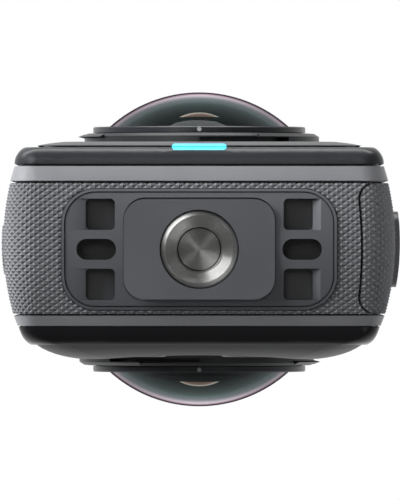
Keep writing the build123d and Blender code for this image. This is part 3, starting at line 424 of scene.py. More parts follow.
grip = {"bottom": 0.15 * mm, "top": 124.5 * mm}
skin = {
    "halfWidth": 22.2 * mm,
    "halfHeight": (grip["top"] - grip["bottom"]) / 2,
    "middle": (grip["top"] + grip["bottom"]) / 2,
    "corner": 3.8 * mm,
    "front": (-7.6 * mm, 0.8 * mm),
    "crown": (-0.4 * mm, 0.0),
    "back": (7.4 * mm, 1.15 * mm),
    "pitch": 1.05 * mm,
    "rowPitch": 0.71 * mm,
    "cut": 0.22 * mm,
    "tipFlat": 0.01 * mm,
    "cutterWall": 2.0 * mm,
    "buttonProud": 0.8 * mm,
    "foldAngle": 20,
    "cornerPoints": 24,
    "bowPoints": 64,
}


def diamondTree():
    tree = bpy.data.node_groups.new("diamondSkin", "GeometryNodeTree")
    sizes = ("Half width", "Half height", "Middle", "Corner", "Pitch", "Row pitch", "Cut", "Tip flat", "Wall")
    for name in sizes:
        tree.interface.new_socket(name=name, in_out="INPUT", socket_type="NodeSocketFloat")
    for name in ("Front", "Crown", "Back"):
        tree.interface.new_socket(name=name, in_out="INPUT", socket_type="NodeSocketVector")
    tree.interface.new_socket(name="Finish", in_out="INPUT", socket_type="NodeSocketMaterial")
    tree.interface.new_socket(name="Geometry", in_out="OUTPUT", socket_type="NodeSocketGeometry")
    given = tree.nodes.new("NodeGroupInput").outputs
    out = tree.nodes.new("NodeGroupOutput")

    # the outline that the skin follows
    path = tree.nodes.new("GeometryNodeCurvePrimitiveQuadrilateral")
    tree.links.new(mathNode(tree, "MULTIPLY", given["Half width"], 2), path.inputs["Width"])
    tree.links.new(mathNode(tree, "MULTIPLY", given["Half height"], 2), path.inputs["Height"])
    rounded = tree.nodes.new("GeometryNodeFilletCurve")
    rounded.mode = "POLY"
    rounded.inputs["Count"].default_value = skin["cornerPoints"]
    tree.links.new(path.outputs["Curve"], rounded.inputs["Curve"])
    tree.links.new(given["Corner"], rounded.inputs["Radius"])
    length = tree.nodes.new("GeometryNodeCurveLength")
    tree.links.new(rounded.outputs["Curve"], length.inputs["Curve"])

    # the bow across the grip, as X = depth and Y = inset
    bow = tree.nodes.new("GeometryNodeCurveArc")
    bow.mode = "POINTS"
    bow.inputs["Resolution"].default_value = skin["bowPoints"]
    linkChain(tree, (
        (given["Front"], bow.inputs["Start"]),
        (given["Crown"], bow.inputs["Middle"]),
        (given["Back"], bow.inputs["End"]),
    ))
    bowLength = tree.nodes.new("GeometryNodeCurveLength")
    tree.links.new(bow.outputs["Curve"], bowLength.inputs["Curve"])

    # a flat grid in lattice steps, an even number each way
    columns = mathNode(tree, "ROUND", mathNode(tree, "DIVIDE", length.outputs["Length"], given["Pitch"]))
    columns = mathNode(tree, "MULTIPLY", columns, 2)
    rows = mathNode(tree, "ROUND", mathNode(tree, "DIVIDE", bowLength.outputs["Length"], given["Row pitch"]))
    rows = mathNode(tree, "MULTIPLY", rows, 2)
    grid = tree.nodes.new("GeometryNodeMeshGrid")
    linkChain(tree, (
        (columns, grid.inputs["Size X"]),
        (rows, grid.inputs["Size Y"]),
        (mathNode(tree, "ADD", columns, 1), grid.inputs["Vertices X"]),
        (mathNode(tree, "ADD", rows, 1), grid.inputs["Vertices Y"]),
    ))
    flat = axesOf(tree, tree.nodes.new("GeometryNodeInputPosition").outputs["Position"])
    along = mathNode(tree, "ADD", flat["X"], mathNode(tree, "DIVIDE", columns, 2))
    across = mathNode(tree, "ADD", flat["Y"], mathNode(tree, "DIVIDE", rows, 2))

    # every cell is folded between its two low corners
    cell = mathNode(tree, "ADD", mathNode(tree, "FLOOR", along), mathNode(tree, "FLOOR", across))
    oddCell = mathNode(tree, "COMPARE", mathNode(tree, "MODULO", cell, 2), 1)
    folded = grid.outputs["Mesh"]
    for method, chosen in (("FIXED", oddCell), ("FIXED_ALTERNATE", mathNode(tree, "SUBTRACT", 1, oddCell))):
        fold = tree.nodes.new("GeometryNodeTriangulate")
        fold.quad_method = method
        tree.links.new(folded, fold.inputs["Mesh"])
        tree.links.new(chosen, fold.inputs["Selection"])
        folded = fold.outputs["Mesh"]

    # wrapped round the outline: tips near the surface, low corners a cut below it
    place = tree.nodes.new("GeometryNodeSampleCurve")
    place.mode = "FACTOR"
    linkChain(tree, (
        (rounded.outputs["Curve"], place.inputs["Curves"]),
        (mathNode(tree, "DIVIDE", along, columns), place.inputs["Factor"]),
    ))
    level = tree.nodes.new("GeometryNodeSampleCurve")
    level.mode = "FACTOR"
    linkChain(tree, (
        (bow.outputs["Curve"], level.inputs["Curves"]),
        (mathNode(tree, "DIVIDE", across, rows), level.inputs["Factor"]),
    ))
    step = mathNode(tree, "ROUND", mathNode(tree, "ADD", along, across))
    low = mathNode(tree, "MODULO", step, 2)
    sink = mathNode(tree, "ADD", mathNode(tree, "MULTIPLY", low, given["Cut"]), given["Tip flat"])
    bowSpot = axesOf(tree, level.outputs["Position"])
    inset = mathNode(tree, "ADD", bowSpot["Y"], sink)
    outlineSpot = axesOf(tree, place.outputs["Position"])
    tangent = axesOf(tree, place.outputs["Tangent"])
    outward = tree.nodes.new("ShaderNodeCombineXYZ")
    linkChain(tree, (
        (tangent["Y"], outward.inputs["X"]),
        (mathNode(tree, "MULTIPLY", tangent["X"], -1), outward.inputs["Z"]),
    ))
    spot = tree.nodes.new("ShaderNodeCombineXYZ")
    linkChain(tree, (
        (outlineSpot["X"], spot.inputs["X"]),
        (bowSpot["X"], spot.inputs["Y"]),
        (mathNode(tree, "ADD", outlineSpot["Y"], given["Middle"]), spot.inputs["Z"]),
    ))
    sunk = vectorNode(tree, "SCALE", outward.outputs["Vector"], scale=mathNode(tree, "MULTIPLY", inset, -1))
    wrap = tree.nodes.new("GeometryNodeSetPosition")
    linkChain(tree, (
        (folded, wrap.inputs["Geometry"]),
        (vectorNode(tree, "ADD", spot.outputs["Vector"], sunk), wrap.inputs["Position"]),
    ))
    keepOut = tree.nodes.new("GeometryNodeCaptureAttribute")
    keepOut.domain = "POINT"
    keepOut.capture_items.new("VECTOR", "Outward")
    linkChain(tree, (
        (folded, keepOut.inputs["Geometry"]),
        (outward.outputs["Vector"], keepOut.inputs["Outward"]),
        (keepOut.outputs["Geometry"], wrap.inputs["Geometry"]),
    ))
    closed = tree.nodes.new("GeometryNodeMergeByDistance")
    closed.inputs["Distance"].default_value = tolerance["weld"]
    tree.links.new(wrap.outputs["Geometry"], closed.inputs["Geometry"])

    # thickened outwards into a closed cutting ring
    thick = tree.nodes.new("GeometryNodeExtrudeMesh")
    thick.mode = "FACES"
    thick.inputs["Individual"].default_value = False
    linkChain(tree, (
        (closed.outputs["Geometry"], thick.inputs["Mesh"]),
        (keepOut.outputs["Outward"], thick.inputs["Offset"]),
        (given["Wall"], thick.inputs["Offset Scale"]),
    ))
    outer = tree.nodes.new("GeometryNodeFlipFaces")
    tree.links.new(thick.outputs["Mesh"], outer.inputs["Mesh"])
    joined = tree.nodes.new("GeometryNodeJoinGeometry")
    tree.links.new(outer.outputs["Mesh"], joined.inputs["Geometry"])
    tree.links.new(closed.outputs["Geometry"], joined.inputs["Geometry"])
    welded = tree.nodes.new("GeometryNodeMergeByDistance")
    welded.inputs["Distance"].default_value = tolerance["weld"]
    real = tree.nodes.new("GeometryNodeRealizeInstances")
    finish = tree.nodes.new("GeometryNodeSetMaterial")
    linkChain(tree, (
        (joined.outputs["Geometry"], welded.inputs["Geometry"]),
        (welded.outputs["Geometry"], real.inputs["Geometry"]),
        (real.outputs["Geometry"], finish.inputs["Geometry"]),
        (given["Finish"], finish.inputs["Material"]),
        (finish.outputs["Geometry"], out.inputs["Geometry"]),
    ))
    return tree


def newPiece(name, mesh):
    piece = bpy.data.objects.new(name, mesh)
    scene.collection.objects.link(piece)
    return piece


def setInputs(modifier, values):
    for item in modifier.node_group.interface.items_tree:
        if item.item_type == "SOCKET" and item.in_out == "INPUT" and item.name in values:
            modifier[item.identifier] = values[item.name]


def plainMesh(piece):
    graph = bpy.context.evaluated_depsgraph_get()
    graph.update()
    return bpy.data.meshes.new_from_object(piece.evaluated_get(graph), depsgraph=graph)


def mergedCopy(name, nodeName):
    mesh = nodes[nodeName].data.copy()
    mesh.name = name
    work = bmesh.new()
    work.from_mesh(mesh)
    bmesh.ops.remove_doubles(work, verts=work.verts, dist=tolerance["merge"])
    work.to_mesh(mesh)
    work.free()
    if "custom_normal" in mesh.attributes:
        mesh.attributes.remove(mesh.attributes["custom_normal"])
    return newPiece(name, mesh)


def sweptPiece(name, rings, closed=False):
    # rings of points, joined one to the next into a closed shell
    work = bmesh.new()
    loops = [[work.verts.new(point) for point in ring] for ring in rings]
    if not closed:
        work.faces.new(loops[0])
        work.faces.new(loops[-1])
    following = loops[1:] + loops[:1] if closed else loops[1:]
    for ring, other in zip(loops, following):
        for place in range(len(ring)):
            after = (place + 1) % len(ring)
            work.faces.new((ring[place], ring[after], other[after], other[place]))
    bmesh.ops.recalc_face_normals(work, faces=work.faces)
    mesh = bpy.data.meshes.new(name)
    work.to_mesh(mesh)
    work.free()
    return newPiece(name, mesh)


def carve(piece, cutter):
    cut = piece.modifiers.new("carve", "BOOLEAN")
    cut.operation = "DIFFERENCE"
    cut.solver = "MANIFOLD"
    cut.object = cutter
    mesh = plainMesh(piece)
    piece.modifiers.remove(cut)
    piece.data = mesh


def shadeByAngle(mesh, degrees):
    work = bmesh.new()
    work.from_mesh(mesh)
    limit = math.radians(degrees)
    for edge in work.edges:
        edge.smooth = len(edge.link_faces) == 2 and edge.calc_face_angle(0) < limit
    for face in work.faces:
        face.smooth = True
    work.to_mesh(mesh)
    work.free()


def dress(piece, nodeName, material, foldAngle=tolerance["foldAngle"]):
    # finish, body and slot of a piece that stands in for a solid one
    shadeByAngle(piece.data, foldAngle)
    piece.data.materials.clear()
    piece.data.materials.append(material)
    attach(piece, nodes[nodeName]["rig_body"])
    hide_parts(nodeName)
    print(piece.name, "faces:", len(piece.data.polygons))


def skinCutter(name, proud):
    host = newPiece(name, bpy.data.meshes.new(name))
    diamonds = host.modifiers.new("diamonds", "NODES")
    diamonds.node_group = skinTree
    setInputs(diamonds, {
        "Half width": skin["halfWidth"] + proud, "Half height": skin["halfHeight"] + proud,
        "Middle": skin["middle"], "Corner": skin["corner"] + proud,
        "Pitch": skin["pitch"], "Row pitch": skin["rowPitch"], "Cut": skin["cut"],
        "Tip flat": skin["tipFlat"], "Wall": skin["cutterWall"],
        "Front": (*skin["front"], 0.0), "Crown": (*skin["crown"], 0.0), "Back": (*skin["back"], 0.0),
        "Finish": materials["textured_grip"],
    })
    mesh = plainMesh(host)
    host.modifiers.remove(diamonds)
    host.data = mesh
    return host


# Seams between the casing's layers: slots a little wider than the solid model's, for the shadow lines

seams = {
    "outside": -1.0 * mm,
    "corner": 6.0 * mm,
    "cornerShare": 1.5,
    "cornerSteps": 16,
    "lines": {
        "coverLine": (-9.64 * mm, -9.38 * mm, 1.95 * mm),
        "frontGripLine": (-7.74 * mm, -7.46 * mm, 1.40 * mm),
        "backGripLine": (7.26 * mm, 7.50 * mm, 1.75 * mm),
        "panelLine": (-11.74 * mm, -11.40 * mm, 4.6 * mm),
    },
    "pieces": {
        "front_panel": ("frontPanelShell", "grey_panel", ("panelLine",)),
        "front_cover": ("frontCoverShell", "dark_cover", ("coverLine",)),
        "front_frame_band": ("frontBand", "satin_trim", ("coverLine", "frontGripLine")),
        "back_frame_band": ("backBand", "satin_trim", ("backGripLine",)),
    },
}


def roundedLoop(halfWidth, halfLength, corner, steps, middle=0.0):
    # points and outward directions round a rectangle with rounded corners, its middle at (0, middle)
    loop = []
    for quarter, (side, end) in enumerate(((1, 1), (-1, 1), (-1, -1), (1, -1))):
        hub = Vector((side * (halfWidth - corner), middle + end * (halfLength - corner)))
        for step in range(steps + 1):
            turn = math.pi / 2 * (quarter + step / steps)
            out = Vector((math.cos(turn), math.sin(turn)))
            loop.append((hub + out * corner, out))
    return loop


def seamCutter(front, back, inset):
    section = ((front, seams["outside"]), (back, seams["outside"]), (back, inset), (front, inset))
    corner = max(skin["corner"], min(seams["corner"], seams["cornerShare"] * inset))
    loop = roundedLoop(skin["halfWidth"], skin["halfHeight"], corner, seams["cornerSteps"], skin["middle"])
    rings = []
    for point, out in loop:
        spots = [(place, point - out * depth) for place, depth in section]
        rings.append([(spot.x, place, spot.y) for place, spot in spots])
    return sweptPiece("seamCutter", rings, closed=True)


seamCutters = {line: seamCutter(*sizes) for line, sizes in seams["lines"].items()}
for nodeName, (pieceName, slot, lines) in seams["pieces"].items():
    piece = mergedCopy(pieceName, nodeName)
    for line in lines:
        carve(piece, seamCutters[line])
    dress(piece, nodeName, materials[slot])


def bowInset(y):
    # how far the bowed base lies above its lowest line, at a place along the depth
    (start, rise), (crown, _), (end, fall) = skin["front"], skin["crown"], skin["back"]
    if y < crown:
        return rise * ((y - crown) / (start - crown)) ** 2
    return fall * ((y - crown) / (end - crown)) ** 2


# Wider mouth of the seam between battery door and grip, where it runs through the base

doorSeam = {
    "nodes": ("grip_shell", "battery_door"),
    "across": 18.03 * mm, "bow": 0.3 * mm, "corner": 1.9 * mm, "low": -7.52 * mm, "high": 7.32 * mm,
    "halfWidth": 0.14 * mm, "depth": 0.5 * mm, "lead": 0.5 * mm, "below": -1.0 * mm,
    "cornerSteps": 12, "seamSteps": 24,
}


def doorSeamPath():
    look = doorSeam
    corner = look["corner"]
    turned = look["across"] + corner
    path = [(turned + look["lead"], look["low"])]
    for step in range(look["cornerSteps"] + 1):
        turn = math.pi / 2 * step / look["cornerSteps"]
        path.append((turned - corner * math.sin(turn), look["low"] + corner * (1 - math.cos(turn))))
    start, end = look["low"] + corner, look["high"] - corner
    for step in range(1, look["seamSteps"]):
        share = step / look["seamSteps"]
        path.append((look["across"] + look["bow"] * 4 * share * (1 - share), start + (end - start) * share))
    for step in range(look["cornerSteps"] + 1):
        turn = math.pi / 2 * step / look["cornerSteps"]
        path.append((turned - corner * math.cos(turn), look["high"] - corner * (1 - math.sin(turn))))
    path.append((turned + look["lead"], look["high"]))
    return path


def doorSeamCutter():
    look = doorSeam
    path = [Vector((across, deep, 0)) for across, deep in doorSeamPath()]
    bend = skin["corner"]
    rings = []
    for place, point in enumerate(path):
        along = path[min(place + 1, len(path) - 1)] - path[max(place - 1, 0)]
        aside = Vector((-along.y, along.x, 0)).normalized() * look["halfWidth"]
        past = max(0, point.x - (skin["halfWidth"] - bend))
        surface = grip["bottom"] + bowInset(point.y) + bend - math.sqrt(bend ** 2 - past ** 2)
        top = surface + look["depth"]
        corners = ((aside, look["below"]), (-aside, look["below"]), (-aside, top), (aside, top))
        rings.append([point + offset + Vector((0, 0, height)) for offset, height in corners])
    return sweptPiece("doorSeamCutter", rings)


skinTree = diamondTree()
skinPieces = {
    "grip_shell": ("gripSkin", 0.0),
    "battery_door": ("doorSkin", 0.0),
    "usb_cover": ("usbCoverSkin", 0.0),
    "power_button": ("powerButtonSkin", skin["buttonProud"]),
    "quick_button": ("quickButtonSkin", skin["buttonProud"]),
}
cutters = {proud: skinCutter("skinCutter", proud) for proud in (0.0, skin["buttonProud"])}
cutters["doorSeam"] = doorSeamCutter()
for nodeName, (pieceName, proud) in skinPieces.items():
    piece = mergedCopy(pieceName, nodeName)
    carve(piece, cutters[proud])
    if nodeName in doorSeam["nodes"]:
        carve(piece, cutters["doorSeam"])
    dress(piece, nodeName, materials["textured_grip"], skin["foldAngle"])
for cutter in [*cutters.values(), *seamCutters.values()]:
    bpy.data.objects.remove(cutter)


# Tripod insert: turned collar, ringed mouth, threaded bore and a spun blind floor

insert = {
    "collarRadius": 4.42 * mm, "collarFace": 0.10 * mm, "collarSlope": 0.20 * mm, "collarEdge": 0.08 * mm,
    "mouthRadius": 3.82 * mm, "mouthDepth": 1.5 * mm, "boreRadius": 2.5 * mm, "floorDepth": 6.0 * mm,
    "floorRadius": 2.36 * mm, "floorGroove": 0.7 * mm,
    "rings": 6, "ringCut": 0.15 * mm,
    "threadPitch": 1.27 * mm, "threadCut": 0.55 * mm,
    "flangeWall": 1.0 * mm, "ringFade": 6, "threadFade": (4, 8), "threadSharp": 1.2,
    "steps": 96, "mouthRows": 30, "boreRows": 36, "foldAngle": 35,
}


def insertPiece():
    low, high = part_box("thread_insert")
    top = high.z
    flangeRadius = high.x
    look = insert
    under = top - look["flangeWall"]
    rows = [(look["collarRadius"], top), (flangeRadius, top), (flangeRadius, under)]
    slope = look["collarFace"] + look["collarSlope"]
    rows += [(look["collarRadius"], under), (look["collarRadius"], slope + look["collarEdge"])]
    rows += [(look["collarRadius"] - look["collarEdge"], slope), (look["mouthRadius"], look["collarFace"])]
    mesh = bpy.data.meshes.new("tripodInsert")
    work = bmesh.new()
    loops = []

    def addLoop(radiusAt, heightAt):
        loop = []
        for step in range(look["steps"]):
            turn = 2 * math.pi * step / look["steps"]
            radius = radiusAt(turn)
            loop.append(work.verts.new((radius * math.cos(turn), radius * math.sin(turn), heightAt)))
        loops.append(loop)

    for radius, height in rows:
        addLoop(lambda turn, radius=radius: radius, height)
    depth = look["mouthDepth"] - look["collarFace"]
    for row in range(1, look["mouthRows"] + 1):
        share = row / look["mouthRows"]
        radius = look["mouthRadius"] + (look["boreRadius"] - look["mouthRadius"]) * share
        height = look["collarFace"] + depth * share

        def ringed(turn, radius=radius, share=share):
            wave = (share * look["rings"] - turn / (2 * math.pi)) % 1.0
            return radius + look["ringCut"] * (1 - abs(2 * wave - 1)) * min(1, look["ringFade"] * (1 - share))
        addLoop(ringed, height)
    boreLength = look["floorDepth"] - look["mouthDepth"]
    for row in range(1, look["boreRows"]):
        share = row / look["boreRows"]
        height = look["mouthDepth"] + boreLength * share
        fade = min(1, look["threadFade"][0] * share, look["threadFade"][1] * (1 - share))

        def threaded(turn, height=height, fade=fade):
            wave = (height / look["threadPitch"] - turn / (2 * math.pi)) % 1.0
            groove = max(0, 1 - abs(2 * wave - 1) * look["threadSharp"])
            return look["boreRadius"] + look["threadCut"] * fade * groove
        addLoop(threaded, height)
    addLoop(lambda turn: look["boreRadius"], look["floorDepth"] + look["floorGroove"])
    addLoop(lambda turn: look["floorRadius"], look["floorDepth"] + look["floorGroove"])
    addLoop(lambda turn: look["floorRadius"], look["floorDepth"])
    for first, second in zip(loops, loops[1:]):
        for step in range(look["steps"]):
            following = (step + 1) % look["steps"]
            work.faces.new((first[step], first[following], second[following], second[step]))
    hub = work.verts.new((0, 0, look["floorDepth"]))
    for step in range(look["steps"]):
        work.faces.new((loops[-1][step], loops[-1][(step + 1) % look["steps"]], hub))
    cap = work.verts.new((0, 0, top))
    for step in range(look["steps"]):
        work.faces.new((loops[0][(step + 1) % look["steps"]], loops[0][step], cap))
    bmesh.ops.recalc_face_normals(work, faces=work.faces)
    work.to_mesh(mesh)
    work.free()
    return newPiece("tripodInsert", mesh)


def turnedSteel():
    look = {
        "colour": (0.50, 0.50, 0.49), "shares": (0.85, 1.15), "grainScale": 2500, "rough": 0.30,
        # seam: reach of the painted crevice shade on the steel
        "turned": 0.8, "turnedFrom": 0.25, "lineScale": 54000, "lineDepth": 0.002 * mm, "seam": 0.6,
    }
    material, tree, shader = freshMaterial("turned_steel")
    vector = objectCoords(tree)
    spot = axesOf(tree, vector)
    across, deep = (mathNode(tree, "POWER", spot[axis], 2) for axis in "XY")
    radius = mathNode(tree, "SQRT", mathNode(tree, "ADD", across, deep))
    wave = mathNode(tree, "SINE", mathNode(tree, "MULTIPLY", radius, look["lineScale"]))
    fine = speckle(tree, vector, look["grainScale"], detail=3.0)
    dark, light = ([c * share for c in look["colour"]] for share in look["shares"])
    tint = tintBetween(tree, fine, dark, light)
    # painted shade in the crevices of the insert
    tree.links.new(paintCreviceShade(tree, tint, look["seam"]), shader.inputs["Base Color"])
    shader.inputs["Metallic"].default_value = 1.0
    shader.inputs["Roughness"].default_value = look["rough"]
    shader.inputs["Anisotropic"].default_value = look["turned"]
    shader.inputs["Anisotropic Rotation"].default_value = look["turnedFrom"]
    tangent = tree.nodes.new("ShaderNodeTangent")
    tangent.direction_type = "RADIAL"
    tangent.axis = "Z"
    tree.links.new(tangent.outputs["Tangent"], shader.inputs["Tangent"])
    addBump(tree, shader, wave, look["lineDepth"], strength=0.5)
    return material


dress(insertPiece(), "thread_insert", turnedSteel(), insert["foldAngle"])


# Lens mounts: a bright chamfer round each base, an undercut beside its foot, a painted dot on each ring

lensTrim = {
    "axisHeight": 101.0 * mm, "baseRadius": 13.95 * mm, "baseFace": 14.06 * mm,
    "chamfer": 0.34 * mm, "undercutDepth": 0.85 * mm, "undercut": (12.93 * mm, 13.55 * mm),
    "undercutTurn": 48.0, "undercutReach": 1.2 * mm, "ringRadius": 12.9 * mm,
    "dotPlace": 14.51 * mm, "dotRadius": 0.27 * mm, "dotProud": 0.03 * mm, "dotLength": 0.3 * mm,
    "dotSteps": 24, "clear": 0.05 * mm, "steps": 96,
}


def turnedCutter(section, side, start, end):
    # section as (radius, distance from the lens plane), turned about the lens axis from straight down
    steps = max(4, round(lensTrim["steps"] * (end - start) / 360))
    closed = end - start == 360
    rings = []
    for step in range(steps if closed else steps + 1):
        turn = math.radians(start + (end - start) * step / steps)
        rings.append([
            (side * radius * math.sin(turn), -side * depth, lensTrim["axisHeight"] - radius * math.cos(turn))
            for radius, depth in section
        ])
    return sweptPiece("turnedCutter", rings, closed)


def lensBasePiece(name, nodeName, side):
    look = lensTrim
    piece = mergedCopy(name, nodeName)
    edge, face = look["baseRadius"], look["baseFace"]
    chamfer, clear = look["chamfer"], look["clear"]
    bevel = (
        (edge - chamfer, face), (edge - chamfer, face + clear),
        (edge + clear, face + clear), (edge + clear, face - chamfer - clear),
    )
    low, high = look["undercut"]
    inner, outer = edge - look["undercutDepth"], edge + look["undercutReach"]
    hollow = ((inner, low), (outer, low), (outer, high), (inner, high))
    for section, start, end in ((bevel, 0, 360), (hollow, 0, look["undercutTurn"])):
        cutter = turnedCutter(section, side, start, end)
        carve(piece, cutter)
        bpy.data.objects.remove(cutter)
    dress(piece, nodeName, materials["lens_base"])


# Shadow groove round the pad of the mount plate

padGroove = {
    "halfLength": 8.53 * mm, "halfWidth": 5.65 * mm, "corner": 2.4 * mm,
    "sideGap": 0.04 * mm, "endGap": 0.19 * mm, "low": -1.0 * mm, "high": 1.0 * mm, "cornerSteps": 12,
}


def padGrooveCutter():
    look = padGroove
    rings = []
    for inner, out in roundedLoop(look["halfLength"], look["halfWidth"], look["corner"], look["cornerSteps"]):
        outer = inner + Vector((out.x * look["sideGap"], out.y * look["endGap"]))
        corners = ((inner, look["low"]), (outer, look["low"]), (outer, look["high"]), (inner, look["high"]))
        rings.append([(*spot, height) for spot, height in corners])
    return sweptPiece("padGrooveCutter", rings, closed=True)


# Ramps on the outer side of the four square pockets

pocketRamp = {
    "inner": 12.78 * mm, "outer": 13.68 * mm, "sunk": 0.27 * mm,
    "middle": 3.95 * mm, "width": 3.54 * mm, "lead": 0.4 * mm, "steps": 6,
    "drop": {-1: 0.20 * mm, 1: 0.62 * mm},  # steeper on the right, at +X
}


def pocketRampCutter(side, end):
    look = pocketRamp
    drop = look["drop"][side]
    slope = drop / (look["outer"] - look["inner"])
    rings = []
    for step in range(look["steps"] + 1):
        y = end * look["middle"] + (step / look["steps"] - 0.5) * look["width"]
        level = look["sunk"] + bowInset(y)
        rings.append([(side * across, y, height) for across, height in (
            (look["inner"] - look["lead"], -look["lead"]),
            (look["inner"] - look["lead"], level + drop),
            (look["inner"], level + drop),
            (look["outer"] + look["lead"], level - slope * look["lead"]),
            (look["outer"] + look["lead"], -look["lead"]),
        )])
    return sweptPiece("pocketRampCutter", rings)


mountPlate = mergedCopy("mountPlateGrooved", "mount_plate")
rampCutters = [pocketRampCutter(side, end) for side in (-1, 1) for end in (-1, 1)]
for cutter in [padGrooveCutter(), *rampCutters]:
    carve(mountPlate, cutter)
    bpy.data.objects.remove(cutter)
dress(mountPlate, "mount_plate", materials["mount_plate"])


def indexPaint():
    look = {"dark": (0.17, 0.17, 0.175), "light": (0.22, 0.22, 0.225), "grainScale": 20000, "rough": 0.5}
    material, tree, shader = freshMaterial("index_paint")
    grain = speckle(tree, objectCoords(tree), look["grainScale"], detail=2.0)
    tree.links.new(tintBetween(tree, grain, look["dark"], look["light"]), shader.inputs["Base Color"])
    shader.inputs["Roughness"].default_value = look["rough"]
    return material


def indexDot(name, nodeName, side, paint):
    look = lensTrim
    mesh = bpy.data.meshes.new(name)
    work = bmesh.new()
    bmesh.ops.create_cone(
        work, cap_ends=True, segments=look["dotSteps"], depth=look["dotLength"],
        radius1=look["dotRadius"], radius2=look["dotRadius"],
    )
    rise = look["axisHeight"] - look["ringRadius"] - look["dotProud"] + look["dotLength"] / 2
    bmesh.ops.translate(work, verts=work.verts, vec=(0, -side * look["dotPlace"], rise))
    work.to_mesh(mesh)
    work.free()
    shadeByAngle(mesh, tolerance["foldAngle"])
    mesh.materials.append(paint)
    dot = newPiece(name, mesh)
    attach(dot, nodes[nodeName]["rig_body"])


dotPaint = indexPaint()
for word, side in (("front", 1), ("back", -1)):
    lensBasePiece(word + "BaseEdge", word + "_lens_base", side)
    indexDot(word + "IndexDot", word + "_lens_ring", side, dotPaint)


# Latch spring, which the latch slides down on: a merged copy with a mesh of its own, in place of the solid
# one

latchSpring = mergedCopy("latchSpringStrip", "latch_spring")
springSlot = slotOf["latch_spring"]
dress(latchSpring, "latch_spring", materials[springSlot])
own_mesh(latchSpring)


# Camera under the floor, looking straight up at the base as in the photograph

view = {
    "distance": 1256 * mm, "across": 0.09 * mm, "deep": 0.079 * mm, "frameHeight": 56.3 * mm,
    "sensor": 36.0, "clip": (10 * mm, 20.0),
}
camera = bpy.data.objects.new("baseView", bpy.data.cameras.new("baseView"))
camera.data.sensor_width = view["sensor"]
camera.data.lens = view["sensor"] * view["distance"] / view["frameHeight"]
camera.data.clip_start, camera.data.clip_end = view["clip"]
camera.matrix_world = Matrix((
    (1, 0, 0, view["across"]),
    (0, -1, 0, view["deep"]),
    (0, 0, -1, -view["distance"]),
    (0, 0, 0, 1),
))
scene.collection.objects.link(camera)
scene.camera = camera


# Pale floor that is seen from above only, and plain soft light all round

def floorMaterial():
    look = {"grey": (0.85, 0.85, 0.85), "lift": 0.16, "fade": (0.10, 0.55)}
    material = bpy.data.materials.new("studioFloor")
    material.use_nodes = True
    tree = material.node_tree
    tree.nodes.clear()
    out = tree.nodes.new("ShaderNodeOutputMaterial")
    side = tree.nodes.new("ShaderNodeNewGeometry")
    paint = tree.nodes.new("ShaderNodeBsdfDiffuse")
    paint.inputs["Color"].default_value = (*look["grey"], 1)
    lift = tree.nodes.new("ShaderNodeEmission")
    lift.inputs["Strength"].default_value = look["lift"]
    lit = tree.nodes.new("ShaderNodeAddShader")
    linkChain(tree, ((paint.outputs["BSDF"], lit.inputs[0]), (lift.outputs["Emission"], lit.inputs[1])))
    coords = tree.nodes.new("ShaderNodeTexCoord")
    away = tree.nodes.new("ShaderNodeVectorMath")
    away.operation = "LENGTH"
    tree.links.new(coords.outputs["Object"], away.inputs[0])
    near, far = look["fade"]
    faded = remap(tree, away.outputs["Value"], 0.0, 1.0, near, far)
    clear = tree.nodes.new("ShaderNodeBsdfTransparent")
    mix = tree.nodes.new("ShaderNodeMixShader")
    tree.links.new(mathNode(tree, "MAXIMUM", side.outputs["Backfacing"], faded), mix.inputs["Fac"])
    tree.links.new(lit.outputs["Shader"], mix.inputs[1])
    tree.links.new(clear.outputs["BSDF"], mix.inputs[2])
    tree.links.new(mix.outputs["Shader"], out.inputs["Surface"])
    return material


def studioFloor():
    reach = 3.0  # half width, in metres
    mesh = bpy.data.meshes.new("studioFloor")
    corners = [(-reach, -reach, 0), (reach, -reach, 0), (reach, reach, 0), (-reach, reach, 0)]
    mesh.from_pydata(corners, [], [(0, 1, 2, 3)])
    floor = newPiece("studioFloor", mesh)
    mesh.materials.append(floorMaterial())
    floor.visible_shadow = False
    floor.visible_diffuse = False
    floor.visible_glossy = False
    floor.visible_transmission = False
    return floor


studioFloor()


def mixLevels(tree, factor, first, second):
    mix = tree.nodes.new("ShaderNodeMix")
    mix.data_type = "FLOAT"
    tree.links.new(factor, mix.inputs["Factor"])
    for socket, value in (("A", first), ("B", second)):
        if isinstance(value, float):
            mix.inputs[socket].default_value = value
        else:
            tree.links.new(value, mix.inputs[socket])
    return mix.outputs["Result"]


def studioSky():
    # what is reflected is given by height, from straight down at -1 to straight up at 1
    look = {
        "fill": 0.12, "through": 0.8,
        "reflected": ((-1.0, 0.13), (-0.10, 0.15), (0.50, 0.70), (0.985, 0.95), (1.0, 0.30)),
    }
    world = bpy.data.worlds.new("studioSky")
    scene.world = world
    world.use_nodes = True
    tree = world.node_tree
    tree.nodes.clear()
    out = tree.nodes.new("ShaderNodeOutputWorld")
    rays = tree.nodes.new("ShaderNodeLightPath")
    coords = tree.nodes.new("ShaderNodeTexCoord")
    height = remap(tree, axesOf(tree, coords.outputs["Generated"])["Z"], 0.0, 1.0, -1.0, 1.0)
    stops = [((place + 1) / 2, (level, level, level)) for place, level in look["reflected"]]
    level = mixLevels(tree, rays.outputs["Is Glossy Ray"], look["fill"], colourRamp(tree, height, stops))
    level = mixLevels(tree, rays.outputs["Is Transmission Ray"], level, look["through"])
    level = mixLevels(tree, rays.outputs["Is Camera Ray"], level, 1.0)
    sky = tree.nodes.new("ShaderNodeBackground")
    sky.inputs["Color"].default_value = (1, 1, 1, 1)
    tree.links.new(level, sky.inputs["Strength"])
    tree.links.new(sky.outputs["Background"], out.inputs["Surface"])


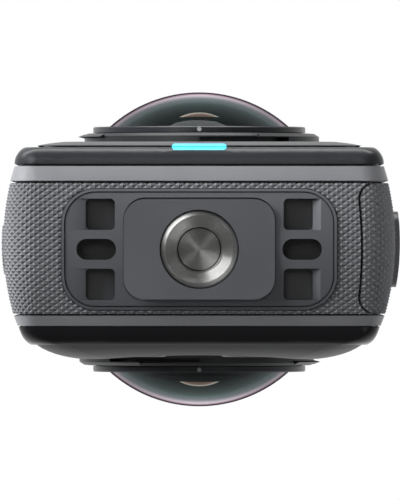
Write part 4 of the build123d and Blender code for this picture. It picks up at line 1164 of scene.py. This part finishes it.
def areaLamp(name, look, mirrored=True, lights=True):
    lamp = bpy.data.lights.new(name, "AREA")
    lamp.shape = "RECTANGLE"
    lamp.size, lamp.size_y = look["size"]
    lamp.energy = look["watts"]
    lampObject = bpy.data.objects.new(name, lamp)
    lampObject.location = look["place"]
    aim = Vector(look["aim"]) - Vector(look["place"])
    lampObject.rotation_euler = aim.to_track_quat("-Z", "Y").to_euler()
    lampObject.visible_glossy = mirrored
    lampObject.visible_diffuse = lights
    lampObject.visible_transmission = False
    lampObject.visible_camera = False
    scene.collection.objects.link(lampObject)


wide = (0.8, 0.8)
cards = {  # only mirrored by the surfaces
    "keyCard": {"place": (-0.55, -0.55, -0.95), "aim": (0, 0, 0.02), "size": wide, "watts": 6},
    "lowCard": {"place": (0.60, 0.60, -0.95), "aim": (0, 0, 0.02), "size": (0.9, 0.9), "watts": 1.0},
    "frontCard": {"place": (-0.2, -1.10, 0.12), "aim": (0, 0, 0.05), "size": (2.2, 0.5), "watts": 20},
}
lamps = {  # only light them
    "key": {"place": (-0.14, -0.13, -0.06), "aim": (0, 0, 0.01), "size": (0.07, 0.07), "watts": 0.39},
    "leftSoft": {"place": (-1.05, -0.50, -0.25), "aim": (0, 0, 0.05), "size": wide, "watts": 50},
    "lowSoft": {"place": (0.05, -0.25, -0.95), "aim": (0, 0, 0.03), "size": (0.6, 0.6), "watts": 1.2},
    "rightSoft": {"place": (1.05, 0.1, -0.10), "aim": (0, 0, 0.06), "size": wide, "watts": 10},
    "backSoft": {"place": (0.2, 0.9, 0.90), "aim": (0, 0, 0.06), "size": wide, "watts": 5},
    "overHead": {"place": (-0.5, -0.7, 1.1), "aim": (0, 0, 0.06), "size": wide, "watts": 8},
}
floorSpot = {"aside": 0.34, "height": -1.15, "aim": (0, 0, 0), "size": (0.13, 0.13), "watts": 0.3}
for name, look in cards.items():
    areaLamp(name, look, lights=False)
for name, look in lamps.items():
    areaLamp(name, look, mirrored=False)
for row, (across, deep) in enumerate(((-1, -1), (1, -1), (1, 1), (-1, 1))):
    place = (floorSpot["aside"] * across, floorSpot["aside"] * deep, floorSpot["height"])
    areaLamp("floorSpot" + str(row), {**floorSpot, "place": place})
studioSky()
print("camera, floor and lamps are in place")
